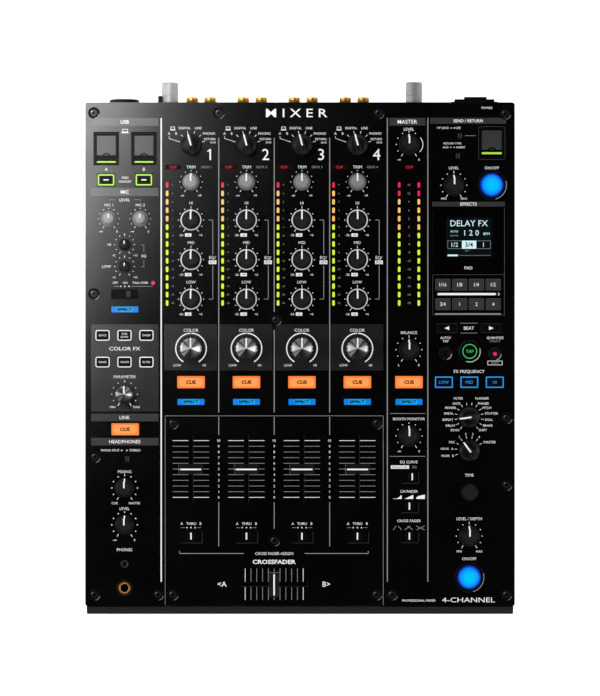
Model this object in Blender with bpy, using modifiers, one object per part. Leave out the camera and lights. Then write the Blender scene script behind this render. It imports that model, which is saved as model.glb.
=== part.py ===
"""A four-channel club DJ mixer: a folded steel case, its panels and boards, and every main control.

Frame: +Z up, +Y to the rear connectors, +X to the effects section on the right. The origin is the
middle of the footprint, on the surface that the mixer stands on. Sizes below are in millimetres.
"""

import math

import bmesh
import bpy
from mathutils import Matrix, Vector

MM = 0.001
GAP = 0.3  # between parts that touch

# Case
CASE_WIDTH = 331.0
REACH = 206.6  # from the middle to the front wall, and to the ends of the ground terminals
SHEET = 1.6
FOOT_HEIGHT = 6.5
FRONT_SHOULDER = 83.0  # height where the front wall starts to slope back to the panel
REAR_FACE = 185.5

# Top panel
PANEL_WIDTH = 333.0
PANEL_FRONT = -200.3
PANEL_REAR = 190.5
PANEL_TOP = 90.0
PANEL_THICK = 2.0
FADER_PANEL = (-105.2, 65.2, -51.9)  # left edge, right edge, rear edge
DISPLAY = ((102.5, 24.8), (158.8, 109.4))  # front left and rear right corners

# Control surface: four channel strips and the rows across them
CHANNEL_PITCH = 43.0
CHANNEL_MIDDLE = -20.0
CHANNELS = [CHANNEL_MIDDLE + CHANNEL_PITCH * step for step in (-1.5, -0.5, 0.5, 1.5)]
SELECTOR_ROW = 157.5
TRIM_ROW = 128.8
EQ_ROWS = {"high": 99.2, "mid": 68.5, "low": 37.9}
COLOR_ROW = -0.4
CUE_ROW = -26.5
FADER_ROW = -93.8
ASSIGN_ROW = -146.0
CROSSFADER_ROW = -183.1
MASTER_X = 84.5
LEFT_X = -136.0  # middle of the microphone and headphone column
RIGHT_X = 131.2  # middle of the effects column

# Controls
SHAFT_RADIUS = 3.0
SHAFT_HOLE = 3.8
SHAFT_FOOT = -9.6  # below the panel face
TURNED_SIDES = 12
COARSE_SIDES = 8  # shaft holes and phono barrels
FADER_TRAVEL = 45.0
FADER_SLOT = 3.4
KEY_TOP = 2.0
KEY_PLATE = (-8.0, -6.5)
KEY_CLEARANCE = 0.4
JACK_RADIUS = 3.3  # bore for a quarter-inch plug

# Boards
CONTROL_BOARD = (70.0, 71.6)
POT_TOP = 80.0
JACK_BOARD_Y = (172.5, 174.1)
DEEP_JACK = 155.0  # where the sockets that take a long plug start
HOUSING_REAR = REAR_FACE - SHEET - GAP
PHONO_PITCH = 14.1
PHONO_PAIRS = [-77.2, -37.25, 2.5, 42.4]
PHONO_TIP = 195.4
COAXIAL_Z = 28.0

# Knob styles: skirt radius, cap base radius, cap top radius, height above the panel, material
KNOB_STYLES = {
    "eq": (8.1, 5.7, 5.2, 16.0, "soft_black"),
    "trim": (6.75, 5.55, 5.0, 13.5, "knob_grey"),
    "color": (9.1, 8.2, 7.6, 17.9, "knob_chrome"),
    "parameter": (7.25, 6.6, 6.0, 15.0, "knob_chrome"),
    "headphone": (7.35, 5.4, 4.9, 15.0, "soft_black"),
    "selector": (8.15, 5.0, 4.8, 4.5, "soft_black"),
    "encoder": (7.0, 6.6, 6.2, 14.0, "soft_black"),
}
SELECTOR_WING = (4.4, 15.6, 2.2, 16.0)  # width, length, bottom and top above the panel
INPUT_TURN = 15.0  # degrees anticlockwise from the rear at which a selector rests
EFFECT_TURNS = {"fx_selector": 98.0, "fx_channel_selector": 36.0}

MATERIALS = {  # colour, roughness, metallic
    "case_paint": ((0.020, 0.020, 0.022), 0.45, 0.0),
    "panel_paint": ((0.012, 0.012, 0.013), 0.30, 0.0),
    "soft_black": ((0.015, 0.015, 0.016), 0.55, 0.0),
    "knob_grey": ((0.20, 0.20, 0.21), 0.45, 0.0),
    "knob_chrome": ((0.75, 0.75, 0.77), 0.15, 1.0),
    "key_orange": ((1.0, 0.33, 0.06), 0.40, 0.0),
    "key_black": ((0.02, 0.02, 0.02), 0.40, 0.0),
    "key_blue": ((0.02, 0.25, 0.90), 0.30, 0.0),
    "key_green": ((0.05, 0.45, 0.12), 0.35, 0.0),
    "board_green": ((0.02, 0.12, 0.05), 0.50, 0.0),
    "gold_plate": ((0.85, 0.60, 0.22), 0.25, 1.0),
    "steel": ((0.55, 0.56, 0.58), 0.35, 1.0),
    "display_glass": ((0.01, 0.012, 0.015), 0.08, 0.0),
    "foot_rubber": ((0.02, 0.02, 0.02), 0.80, 0.0),
}

for old in list(bpy.data.objects):
    bpy.data.objects.remove(old, do_unlink=True)


def new_collection(name):
    collection = bpy.data.collections.new(name)
    bpy.context.scene.collection.children.link(collection)
    return collection


PARTS = new_collection("dj_mixer")
CUTTERS = new_collection("cutters")
FRAME = bpy.data.objects.new("dj_mixer_frame", None)
PARTS.objects.link(FRAME)


def make_material(name):
    colour, roughness, metallic = MATERIALS[name]
    material = bpy.data.materials.new(name)
    material.use_nodes = True
    shader = material.node_tree.nodes["Principled BSDF"]
    shader.inputs["Base Color"].default_value = (*colour, 1.0)
    shader.inputs["Roughness"].default_value = roughness
    shader.inputs["Metallic"].default_value = metallic
    return material


# Shapes, collected in a bmesh

def add_box(shapes, low, high):
    middle = Vector([(a + b) / 2 for a, b in zip(low, high)]) * MM
    size = [(b - a) * MM for a, b in zip(low, high)]
    bmesh.ops.create_cube(shapes, size=1.0, matrix=Matrix.Translation(middle) @ Matrix.Diagonal((*size, 1.0)))


def add_block(shapes, x, y, width, depth, bottom, top):
    """A box given by its middle in plan."""
    add_box(shapes, (x - width / 2, y - depth / 2, bottom), (x + width / 2, y + depth / 2, top))


def add_rod(shapes, x, y, radius, bottom, top, sides=TURNED_SIDES):
    """An upright cylinder."""
    place = Matrix.Translation(Vector((x, y, (bottom + top) / 2)) * MM)
    bmesh.ops.create_cone(
        shapes, cap_ends=True, segments=sides, radius1=radius * MM, radius2=radius * MM,
        depth=(top - bottom) * MM, matrix=place)


def add_rear_rod(shapes, x, z, radius, near, far, sides=TURNED_SIDES):
    """A cylinder along Y, as a rear connector's barrel or bore."""
    place = Matrix.Translation(Vector((x, (near + far) / 2, z)) * MM) @ Matrix.Rotation(math.radians(90), 4, "X")
    bmesh.ops.create_cone(
        shapes, cap_ends=True, segments=sides, radius1=radius * MM, radius2=radius * MM,
        depth=(far - near) * MM, matrix=place)


def finish_mesh(name, shapes):
    mesh = bpy.data.meshes.new(name)
    shapes.to_mesh(mesh)
    shapes.free()
    return mesh


# Objects

def add_part(name, mesh, material, at=(0, 0, 0)):
    part = bpy.data.objects.new(name, mesh)
    PARTS.objects.link(part)
    part.parent = FRAME
    part.location = Vector(at) * MM
    if not mesh.materials:
        mesh.materials.append(make_material(material))
    return part


def box_part(name, low, high, material, corner=0.0):
    """A plate or block, with its upright edges rounded by corner."""
    shapes = bmesh.new()
    add_box(shapes, low, high)
    if corner:
        upright = [edge for edge in shapes.edges if abs(edge.verts[0].co.z - edge.verts[1].co.z) > 1e-6]
        bmesh.ops.bevel(shapes, geom=upright, offset=corner * MM, segments=2, profile=0.5, affect="EDGES")
    return add_part(name, finish_mesh(name, shapes), material)


def combine(part, operation, shapes, name, at=(0, 0, 0)):
    """Unites the part with the shapes, or cuts them out of it."""
    tool = bpy.data.objects.new(name, finish_mesh(name, shapes))
    CUTTERS.objects.link(tool)
    tool.location = Vector(at) * MM
    tool.hide_render = True
    tool.display_type = "WIRE"
    boolean = part.modifiers.new(name, "BOOLEAN")
    boolean.operation = operation
    boolean.solver = "EXACT"
    boolean.object = tool


def turned_mesh(name, profile):
    """The half outline of a turned piece, from its top on the axis down to its bottom."""
    shapes = bmesh.new()
    points = [shapes.verts.new((radius * MM, 0, height * MM)) for radius, height in profile]
    for first, second in zip(points, points[1:]):
        shapes.edges.new((first, second))
    return finish_mesh(name, shapes)


def turned_part(name, mesh, material, at, sides=TURNED_SIDES):
    part = add_part(name, mesh, material, at)
    screw = part.modifiers.new("turn", "SCREW")
    screw.axis = "Z"
    screw.steps = sides
    screw.render_steps = sides
    screw.use_merge_vertices = True
    screw.merge_threshold = 0.00001
    return part


def outline_mesh(name, outline, width):
    """A closed outline in Y and Z, drawn out along X."""
    curve = bpy.data.curves.new(name, "CURVE")
    curve.dimensions = "2D"
    curve.fill_mode = "BOTH"
    curve.extrude = width / 2 * MM
    spline = curve.splines.new("POLY")
    spline.points.add(len(outline) - 1)
    spline.use_cyclic_u = True
    for point, (y, z) in zip(spline.points, outline):
        point.co = (y * MM, z * MM, 0, 1)
    guide = bpy.data.objects.new(name, curve)
    CUTTERS.objects.link(guide)
    bpy.context.view_layer.update()
    flat = bpy.data.meshes.new_from_object(guide.evaluated_get(bpy.context.evaluated_depsgraph_get()))
    bpy.data.objects.remove(guide, do_unlink=True)
    shapes = bmesh.new()
    shapes.from_mesh(flat)
    bmesh.ops.remove_doubles(shapes, verts=shapes.verts, dist=0.00001)
    sideways = Matrix(((0, 0, 1), (1, 0, 0), (0, 1, 0))).to_4x4()  # outline X to Y, outline Y to Z
    bmesh.ops.transform(shapes, matrix=sideways, verts=shapes.verts)
    bmesh.ops.recalc_face_normals(shapes, faces=shapes.faces)
    mesh = finish_mesh(name, shapes)
    mesh.materials.clear()
    return mesh


# Where the controls are

def knob_places():
    """Every turning knob's name, style and place."""
    places = []
    for number, x in enumerate(CHANNELS, start=1):
        places.append((f"input_selector_{number}", "selector", x, SELECTOR_ROW))
        places.append((f"trim_knob_{number}", "trim", x, TRIM_ROW))
        places += [(f"eq_{band}_{number}", "eq", x, row) for band, row in EQ_ROWS.items()]
        places.append((f"color_knob_{number}", "color", x, COLOR_ROW))
    places += [
        ("master_level_knob", "eq", MASTER_X, 157.8),
        ("balance_knob", "eq", MASTER_X, -1.3),
        ("booth_level_knob", "eq", MASTER_X, -68.2),
        ("headphone_mix_knob", "headphone", LEFT_X, -108.5),
        ("headphone_level_knob", "headphone", LEFT_X, -137.1),
        ("parameter_knob", "parameter", LEFT_X, -35.8),
        ("send_level_knob", "eq", 119.3, 126.2),
        ("fx_depth_knob", "eq", RIGHT_X, -145.8),
        ("fx_selector", "selector", RIGHT_X, -53.6),
        ("fx_channel_selector", "selector", RIGHT_X, -79.5),
        ("time_encoder", "encoder", RIGHT_X, -111.6),
    ]
    return places


ROUND_BUTTONS = {  # radius, height above the panel, material, place
    "fx_on_button": (9.3, 3.6, "key_blue", (RIGHT_X, -177.8)),
    "send_on_button": (9.3, 3.6, "key_blue", (148.7, 126.4)),
    "tap_button": (6.3, 2.4, "key_green", (131.5, -2.6)),
}

KEY_GROUPS = {  # key width, key depth, material, places
    "cue_keys": (21.4, 9.6, "key_orange", [(x, CUE_ROW) for x in (*CHANNELS, MASTER_X)]),
    "color_fx_keys": (11.4, 8.7, "key_black", [(LEFT_X + x, y) for y in (9.8, -10.9) for x in (-17, 0, 17)]),
    "fx_frequency_keys": (14.3, 9.2, "key_black", [(RIGHT_X + x, CUE_ROW) for x in (-19.7, 0, 19.7)]),
}

FIXED_KEYS = [  # small controls that stand on the control board: x, y, width, depth, top
    (-150.2, 154.6, 19.0, 25.2, 87.4),
    (-121.0, 154.6, 19.0, 25.2, 87.4),
    (148.7, 158.9, 19.8, 24.9, 87.4),
    (-150.3, 130.3, 13.0, 9.3, 90.8),
    (-121.0, 130.3, 13.0, 9.3, 90.8),
    (LEFT_X, 41.7, 20.0, 6.9, 88.4),
    (LEFT_X, -63.0, 21.6, 9.4, 91.6),
    (LEFT_X, -86.1, 13.0, 6.0, 88.4),
    (122.0, 164.4, 11.0, 5.6, 88.4),
    (120.5, 148.9, 11.0, 5.6, 88.4),
    (113.9, 15.4, 15.5, 6.5, 90.8),
    (148.2, 15.4, 15.5, 6.5, 90.8),
    (MASTER_X, -100.0, 14.0, 9.5, 88.6),
    (MASTER_X, -122.8, 14.0, 9.5, 88.6),
    (MASTER_X, -146.0, 14.0, 9.5, 88.6),
]
ASSIGN_SWITCH = (16.9, 9.9, 88.6)
FIXED_ROUND = [  # x, y, radius, top
    (-148.2, 100.2, SHAFT_RADIUS, 89.6),
    (-123.8, 100.2, SHAFT_RADIUS, 89.6),
    (LEFT_X, 80.2, SHAFT_RADIUS, 89.6),
    (LEFT_X, 63.2, SHAFT_RADIUS, 89.6),
    (112.8, -4.2, 4.5, 90.8),
    (151.1, -4.6, 4.5, 90.8),
]
MINI_JACK = (LEFT_X, -167.4, 3.0)
PHONES_JACK = (LEFT_X, -186.0, 4.8)

# Rear connectors, in X and Z
JACKS = [(x, z) for x in (108.5, 66.0) for z in (60.0, 46.0, 32.0, 18.0)] + [(-118.0, 44.0)]
XLR_OUTPUTS = [(88.7, 50.0), (88.7, 22.0)]
MIC_COMBO = (-137.5, 56.0)
COMBO_REACH, XLR_REACH = 8.5, 6.0  # how far these sockets stand out of the rear panel
HOOD_STEPS = [(-19.4, 16.5, 5.8), (-17.0, 14.0, 7.7), (-9.5, 8.0, 9.5)]  # left, right and reach of the switch's hood
GROUND_TERMINALS = [(-101.3, 74.0), (88.7, 76.0)]
DATA_PORTS = [(-137.5, 26.0, 15.0, 12.0), (-112.0, 22.0, 9.0, 8.0), (-95.0, 22.0, 9.0, 8.0)]
INLET = (137.0, 26.0, 27.0, 20.0)
SWITCH = (137.0, 70.0, 20.0, 13.0)  # x, z, width, height


def phono_places():
    pairs = [(x, z) for z in (68.0, 48.0) for x in PHONO_PAIRS]
    places = [(x + side * PHONO_PITCH / 2, z) for x, z in pairs for side in (-1, 1)]
    return places + [(x + PHONO_PITCH / 2, COAXIAL_Z) for x in PHONO_PAIRS]


# Parts of the case

def make_bottom_tray():
    """Floor, sides and front wall folded from one sheet; open at the top and the rear."""
    rear = REAR_FACE - SHEET - GAP
    panel_under = PANEL_TOP - PANEL_THICK - GAP
    lip = PANEL_FRONT - GAP
    outer = [
        (rear, FOOT_HEIGHT), (-REACH + 3.5, FOOT_HEIGHT), (-REACH, FOOT_HEIGHT + 3.5), (-REACH, FRONT_SHOULDER),
        (lip, PANEL_TOP - GAP), (lip, panel_under), (rear, panel_under),
    ]
    inner = [
        (rear + 1, FOOT_HEIGHT + SHEET), (-REACH + 4.2, FOOT_HEIGHT + SHEET), (-REACH + SHEET, FOOT_HEIGHT + 4.2),
        (-REACH + SHEET, FRONT_SHOULDER - 0.6), (lip, PANEL_TOP - 2.7), (lip, PANEL_TOP + 5), (rear + 1, PANEL_TOP + 5),
    ]
    tray = add_part("bottom_tray", outline_mesh("bottom_tray", outer, CASE_WIDTH), "case_paint")
    hollow = bmesh.new()
    hollow.from_mesh(outline_mesh("tray_hollow", inner, CASE_WIDTH - 2 * SHEET))
    combine(tray, "DIFFERENCE", hollow, "tray_inside")


def make_top_panel():
    half = PANEL_WIDTH / 2
    under = PANEL_TOP - PANEL_THICK
    panel = box_part(
        "top_panel", (-half, PANEL_FRONT, under), (half, PANEL_REAR, PANEL_TOP), "panel_paint", corner=2.0)
    left, right, rear = FADER_PANEL
    below, above = under - 1, PANEL_TOP + 1
    holes = bmesh.new()
    add_box(holes, (left - GAP, PANEL_FRONT - 5, below), (right + GAP, rear + GAP, above))
    (low_x, low_y), (high_x, high_y) = DISPLAY
    add_box(holes, (low_x - GAP, low_y - GAP, below), (high_x + GAP, high_y + GAP, above))
    for _, _, x, y in knob_places():
        add_rod(holes, x, y, SHAFT_HOLE, below, above, sides=COARSE_SIDES)
    for radius, _, _, (x, y) in ROUND_BUTTONS.values():
        add_rod(holes, x, y, radius + 0.6, below, above, sides=16)
    for width, depth, _, places in KEY_GROUPS.values():
        for x, y in places:
            add_block(holes, x, y, width + 2 * KEY_CLEARANCE, depth + 2 * KEY_CLEARANCE, below, above)
    for x, y, width, depth, _ in FIXED_KEYS:
        add_block(holes, x, y, width + 2 * KEY_CLEARANCE, depth + 2 * KEY_CLEARANCE, below, above)
    for x, y, radius, _ in FIXED_ROUND:
        add_rod(holes, x, y, radius + 0.6, below, above)
    for x, y, radius in (MINI_JACK, PHONES_JACK):
        add_rod(holes, x, y, radius + 0.6, below, above)
    combine(panel, "DIFFERENCE", holes, "panel_holes")


def make_fader_panel():
    left, right, rear = FADER_PANEL
    top = PANEL_TOP - 0.1
    under = PANEL_TOP - PANEL_THICK + 0.2
    panel = box_part(
        "fader_panel", (left + GAP, PANEL_FRONT, under), (right - GAP, rear - GAP, top), "panel_paint", corner=0.8)
    below, above = under - 1, PANEL_TOP + 1
    slot = FADER_TRAVEL + 6.6
    holes = bmesh.new()
    for x in CHANNELS:
        add_block(holes, x, FADER_ROW, FADER_SLOT, slot, below, above)
        width, depth, _ = ASSIGN_SWITCH
        add_block(holes, x, ASSIGN_ROW, width + 2 * KEY_CLEARANCE, depth + 2 * KEY_CLEARANCE, below, above)
    add_block(holes, CHANNEL_MIDDLE, CROSSFADER_ROW, slot, FADER_SLOT, below, above)
    combine(panel, "DIFFERENCE", holes, "fader_slots")


def make_rear_panel():
    half = CASE_WIDTH / 2
    front, rear = REAR_FACE - SHEET, REAR_FACE
    panel = box_part(
        "rear_panel", (-half, front, FOOT_HEIGHT), (half, rear, PANEL_TOP - PANEL_THICK - GAP), "case_paint")
    x, z, width, height = SWITCH
    hood = bmesh.new()
    for inset, (left, right, reach) in enumerate(HOOD_STEPS):
        add_box(
            hood, (x + left, rear - 1 + 0.2 * inset, z + 11 + 0.5 * inset), (x + right, rear + reach, z + 15 - 0.5 * inset))
    combine(panel, "UNION", hood, "switch_hood")
    panel.modifiers["switch_hood"].use_self = True
    holes = bmesh.new()
    near, far = front - 1, rear + 1
    add_box(holes, (x - width / 2 - 0.7, near, z - height / 2 - 1.2), (x + width / 2 + 0.7, far, z + height / 2 + 1.2))
    for x, z in phono_places():
        add_rear_rod(holes, x, z, 5.1, near, far, sides=COARSE_SIDES)
    for x, z in JACKS:
        add_rear_rod(holes, x, z, 5.6, near, far)
    for x, z in (*XLR_OUTPUTS, MIC_COMBO):
        add_rear_rod(holes, x, z, 12.2, near, far, sides=16)
    for x, z in GROUND_TERMINALS:
        add_rear_rod(holes, x, z, 3.4, near, far)
    for x, z, width, height in (*DATA_PORTS, INLET):
        add_box(holes, (x - width / 2 - 1, near, z - height / 2 - 1), (x + width / 2 + 1, far, z + height / 2 + 1))
    combine(panel, "DIFFERENCE", holes, "rear_holes")


def make_feet():
    profile = [(0, FOOT_HEIGHT - GAP), (10.5, FOOT_HEIGHT - GAP), (12.0, 1.2), (11.0, 0), (0, 0)]
    mesh = turned_mesh("foot", profile)
    for row, y in (("front", -168.0), ("rear", 152.0)):
        for side, x in (("left", -138.0), ("right", 138.0)):
            turned_part(f"foot_{row}_{side}", mesh, "foot_rubber", (x, y, 0), sides=16)


def make_display_panel():
    """The effects display's window with the touch pad under it, set flush in the top panel."""
    (low_x, low_y), (high_x, high_y) = DISPLAY
    box_part(
        "fx_display_panel", (low_x, low_y, PANEL_TOP - 6), (high_x, high_y, PANEL_TOP), "display_glass",
        corner=1.0)


# Boards

def make_control_board():
    """The board under the panel, with the bodies of its pots, faders, switches and headphone jacks."""
    bottom, top = CONTROL_BOARD
    board = box_part("control_board", (-160, -197, bottom), (160, 168, top), "board_green")
    bodies = bmesh.new()
    seat = top - 1
    for _, _, x, y in knob_places():
        add_block(bodies, x, y, 11, 12, seat, POT_TOP)
    for x in CHANNELS:
        add_block(bodies, x, FADER_ROW, 12, FADER_TRAVEL + 17, seat, POT_TOP + 2)
        width, depth, height = ASSIGN_SWITCH
        add_block(bodies, x, ASSIGN_ROW, width, depth, seat, height)
    add_block(bodies, CHANNEL_MIDDLE, CROSSFADER_ROW, FADER_TRAVEL + 17, 12, seat, POT_TOP + 2)
    for x, y, width, depth, height in FIXED_KEYS:
        add_block(bodies, x, y, width, depth, seat, height)
    for x, y, radius, height in FIXED_ROUND:
        add_rod(bodies, x, y, radius, seat, height)
    for radius, _, _, (x, y) in ROUND_BUTTONS.values():
        add_block(bodies, x, y, 6, 6, seat, POT_TOP)
    for _, _, _, places in KEY_GROUPS.values():
        for x, y in places:
            add_block(bodies, x, y, 6, 6, seat, POT_TOP)
    x, y, radius = MINI_JACK
    add_rod(bodies, x, y, radius, seat, PANEL_TOP + 0.6)
    x, y, radius = PHONES_JACK
    add_rod(bodies, x, y, radius, seat - 12, PANEL_TOP + 0.8)
    combine(board, "UNION", bodies, "control_bodies")
    bores = bmesh.new()
    add_rod(bores, x, y, JACK_RADIUS, seat - 10, PANEL_TOP + 5)
    combine(board, "DIFFERENCE", bores, "phones_bore")


def make_main_board():
    board = box_part("main_board", (-150, -120, 16.0), (100, 130, 17.6), "board_green")
    chips = bmesh.new()
    add_block(chips, -30, 20, 60, 40, 17, 32)
    for x in (-110, -75, 40, 75):
        add_block(chips, x, 60, 22, 22, 17, 20)
        add_block(chips, x, -60, 16, 40, 17, 22)
    combine(board, "UNION", chips, "main_chips")


def make_power_supply():
    """The supply's board and parts, and the mains inlet that it feeds from."""
    supply = box_part("power_supply", (117, 40, 16.0), (160, 181, 17.6), "steel")
    blocks = bmesh.new()
    add_block(blocks, 136, 70, 40, 42, 17, 50)
    add_block(blocks, 136, 122, 34, 30, 17, 42)
    x, z, width, height = INLET
    add_box(blocks, (x - width / 2, 160, z - height / 2), (x + width / 2, REAR_FACE + 1.5, z + height / 2))
    combine(supply, "UNION", blocks, "supply_blocks")
    socket = bmesh.new()
    add_box(socket, (x - 12, 170, z - 8), (x + 12, REAR_FACE + 4, z + 8))
    combine(supply, "DIFFERENCE", socket, "inlet_socket")


def make_rear_jack_board():
    """The upright board with every rear audio and data connector."""
    near, far = JACK_BOARD_Y
    board = box_part("rear_jack_board", (-152, near, 12), (116, far, 84), "gold_plate")
    seat = far - 1
    housings = bmesh.new()
    for z in (68.0, 48.0):
        for x in PHONO_PAIRS:
            add_box(housings, (x - 13, seat, z - 6), (x + 13, HOUSING_REAR, z + 6))
    for pair in PHONO_PAIRS:
        x = pair + PHONO_PITCH / 2
        add_box(housings, (x - 6, seat, COAXIAL_Z - 6), (x + 6, HOUSING_REAR, COAXIAL_Z + 6))
    for x, z, width, height in DATA_PORTS:
        add_box(
            housings, (x - width / 2 - 0.5, DEEP_JACK, z - height / 2 - 0.5),
            (x + width / 2 + 0.5, REAR_FACE + 0.5, z + height / 2 + 0.5))
    for x, z in JACKS:
        add_rear_rod(housings, x, z, 5.2, DEEP_JACK, REAR_FACE + 3)
    for x, z in XLR_OUTPUTS:
        add_rear_rod(housings, x, z, 11.6, DEEP_JACK, REAR_FACE + XLR_REACH, sides=16)
    x, z = MIC_COMBO
    add_rear_rod(housings, x, z, 11.6, DEEP_JACK, REAR_FACE + COMBO_REACH, sides=16)
    for x, z in GROUND_TERMINALS:
        add_rear_rod(housings, x, z, 2.6, seat, REAR_FACE + 6)
    combine(board, "UNION", housings, "jack_housings")
    barrels = bmesh.new()
    for x, z in phono_places():
        add_rear_rod(barrels, x, z, 4.25, HOUSING_REAR - 2, PHONO_TIP, sides=COARSE_SIDES)
    for x, z in GROUND_TERMINALS:
        add_rear_rod(barrels, x, z, 6.2, REAR_FACE + 4, REACH)
    combine(board, "UNION", barrels, "jack_barrels")
    bores = bmesh.new()
    mouth = REAR_FACE + COMBO_REACH + 1
    for x, z in (*JACKS, MIC_COMBO):
        add_rear_rod(bores, x, z, JACK_RADIUS, DEEP_JACK + 3, mouth)
    for x, z in XLR_OUTPUTS:
        add_rear_rod(bores, x, z, 9.4, DEEP_JACK + 14, mouth, sides=16)
    for x, z, width, height in DATA_PORTS:
        add_box(bores, (x - width / 2 + 1, DEEP_JACK + 14, z - height / 2 + 1), (x + width / 2 - 1, mouth, z + height / 2 - 1))
    combine(board, "DIFFERENCE", bores, "jack_bores")


# Moving controls

def knob_profile(style):
    skirt, cap_base, cap_top, height, _ = KNOB_STYLES[style]
    return [
        (0, height), (cap_top, height), (cap_base, 3.2), (skirt, 2.6), (skirt, 0.8), (SHAFT_RADIUS, 0.8),
        (SHAFT_RADIUS, SHAFT_FOOT), (0, SHAFT_FOOT),
    ]


def make_knobs():
    """Each knob with its shaft. A selector has a finger wing across it, turned to the place it rests at."""
    meshes = {style: turned_mesh(f"knob_{style}", knob_profile(style)) for style in KNOB_STYLES}
    for name, style, x, y in knob_places():
        knob = turned_part(name, meshes[style], KNOB_STYLES[style][-1], (x, y, PANEL_TOP))
        if style == "selector":
            wing = bmesh.new()
            add_block(wing, 0, 0, *SELECTOR_WING)
            turn = math.radians(EFFECT_TURNS.get(name, INPUT_TURN))
            bmesh.ops.rotate(wing, verts=wing.verts, matrix=Matrix.Rotation(turn, 3, "Z"))
            combine(knob, "UNION", wing, f"{name}_wing", at=(x, y, PANEL_TOP))


def make_faders():
    """A ridged cap on a flat stem that runs in the panel's slot."""
    cap = [(-4, 2.2), (4, 2.2), (4, 5.0), (2.4, 6.4), (1.6, 11.6), (-1.6, 11.6), (-2.4, 6.4), (-4, 5.0)]
    mesh = outline_mesh("fader_cap", cap, 19.0)
    faders = [(f"channel_fader_{number}", x, FADER_ROW, 0) for number, x in enumerate(CHANNELS, start=1)]
    faders.append(("crossfader", CHANNEL_MIDDLE, CROSSFADER_ROW, 90))
    for name, x, y, turn in faders:
        fader = add_part(name, mesh, "soft_black", (x, y, PANEL_TOP))
        fader.rotation_euler = (0, 0, math.radians(turn))
        stem = bmesh.new()
        width, depth = (1.6, 4.0) if turn == 0 else (4.0, 1.6)
        add_block(stem, 0, 0, width, depth, POT_TOP + 2.4 - PANEL_TOP, 3.0)
        combine(fader, "UNION", stem, f"{name}_stem", at=(x, y, PANEL_TOP))


def make_keys():
    """Keys of one group share a moulded plate under the panel."""
    for name, (width, depth, material, places) in KEY_GROUPS.items():
        xs, ys = zip(*places)
        low = (min(xs) - width / 2 - 1, min(ys) - depth / 2 + 1.5, PANEL_TOP + KEY_PLATE[0])
        high = (max(xs) + width / 2 + 1, max(ys) + depth / 2 - 1.5, PANEL_TOP + KEY_PLATE[1])
        plate = box_part(name, low, high, material)
        keys = bmesh.new()
        for x, y in places:
            add_block(keys, x, y, width, depth, PANEL_TOP + KEY_PLATE[1] - 0.5, PANEL_TOP + KEY_TOP)
        combine(plate, "UNION", keys, f"{name}_caps")
    for name, (radius, height, material, (x, y)) in ROUND_BUTTONS.items():
        profile = [
            (0, height), (radius * 0.5, height - 0.4), (radius * 0.85, height - 1.4), (radius, height - 2.6),
            (radius, KEY_PLATE[0]), (0, KEY_PLATE[0]),
        ]
        turned_part(name, turned_mesh(name, profile), material, (x, y, PANEL_TOP), sides=16)


def make_power_switch():
    """A rocker that turns about X in the rear panel, drawn pressed in at its top."""
    x, z, width, height = SWITCH
    outline = [
        (-7, -height / 2 + 1.5), (3.5, -height / 2), (6.2, -height / 2), (4.2, 0), (6.2, height / 2),
        (3.5, height / 2), (-7, height / 2 - 1.5),
    ]
    rocker = add_part("power_switch", outline_mesh("power_switch", outline, width), "soft_black", (x, REAR_FACE - 1, z))
    rocker.rotation_euler = (math.radians(7), 0, 0)


make_bottom_tray()
make_top_panel()
make_fader_panel()
make_rear_panel()
make_feet()
make_display_panel()
make_control_board()
make_main_board()
make_power_supply()
make_rear_jack_board()
make_knobs()
make_faders()
make_keys()
make_power_switch()

for part in PARTS.objects:
    if part.type == "MESH" and any(modifier.type == "SCREW" for modifier in part.modifiers):
        part.data.shade_smooth()
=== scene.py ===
"""Looks of the four-channel DJ mixer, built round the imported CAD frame. Sizes are in millimetres."""

import math

import bmesh
import bpy
from mathutils import Matrix, Vector


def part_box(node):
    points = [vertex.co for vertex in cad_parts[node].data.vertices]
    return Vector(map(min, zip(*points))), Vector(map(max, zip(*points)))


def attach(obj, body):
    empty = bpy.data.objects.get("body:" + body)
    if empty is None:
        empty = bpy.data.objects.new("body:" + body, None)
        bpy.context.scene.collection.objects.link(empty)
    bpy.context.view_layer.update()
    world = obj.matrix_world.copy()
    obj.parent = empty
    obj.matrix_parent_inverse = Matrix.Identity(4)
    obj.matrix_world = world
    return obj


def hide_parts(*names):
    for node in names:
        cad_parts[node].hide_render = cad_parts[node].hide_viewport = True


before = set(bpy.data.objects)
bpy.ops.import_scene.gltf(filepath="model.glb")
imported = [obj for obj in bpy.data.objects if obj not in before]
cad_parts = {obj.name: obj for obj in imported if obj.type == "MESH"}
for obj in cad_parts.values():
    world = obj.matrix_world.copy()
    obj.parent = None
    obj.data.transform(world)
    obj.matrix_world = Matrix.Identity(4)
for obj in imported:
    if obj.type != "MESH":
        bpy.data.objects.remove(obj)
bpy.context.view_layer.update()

MM = 0.001
INK = 0.05  # thickness of printed legends
LIFT = 0.01  # their clearance from the surface under them
FLAT_AREA = 8.0  # faces larger than this many square millimetres are shaded flat


def corners(node):
    """A node's lowest and highest corner, in millimetres."""
    return [Vector(corner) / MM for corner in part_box(node)]


def middle(node):
    low, high = corners(node)
    return (low + high) / 2


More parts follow.
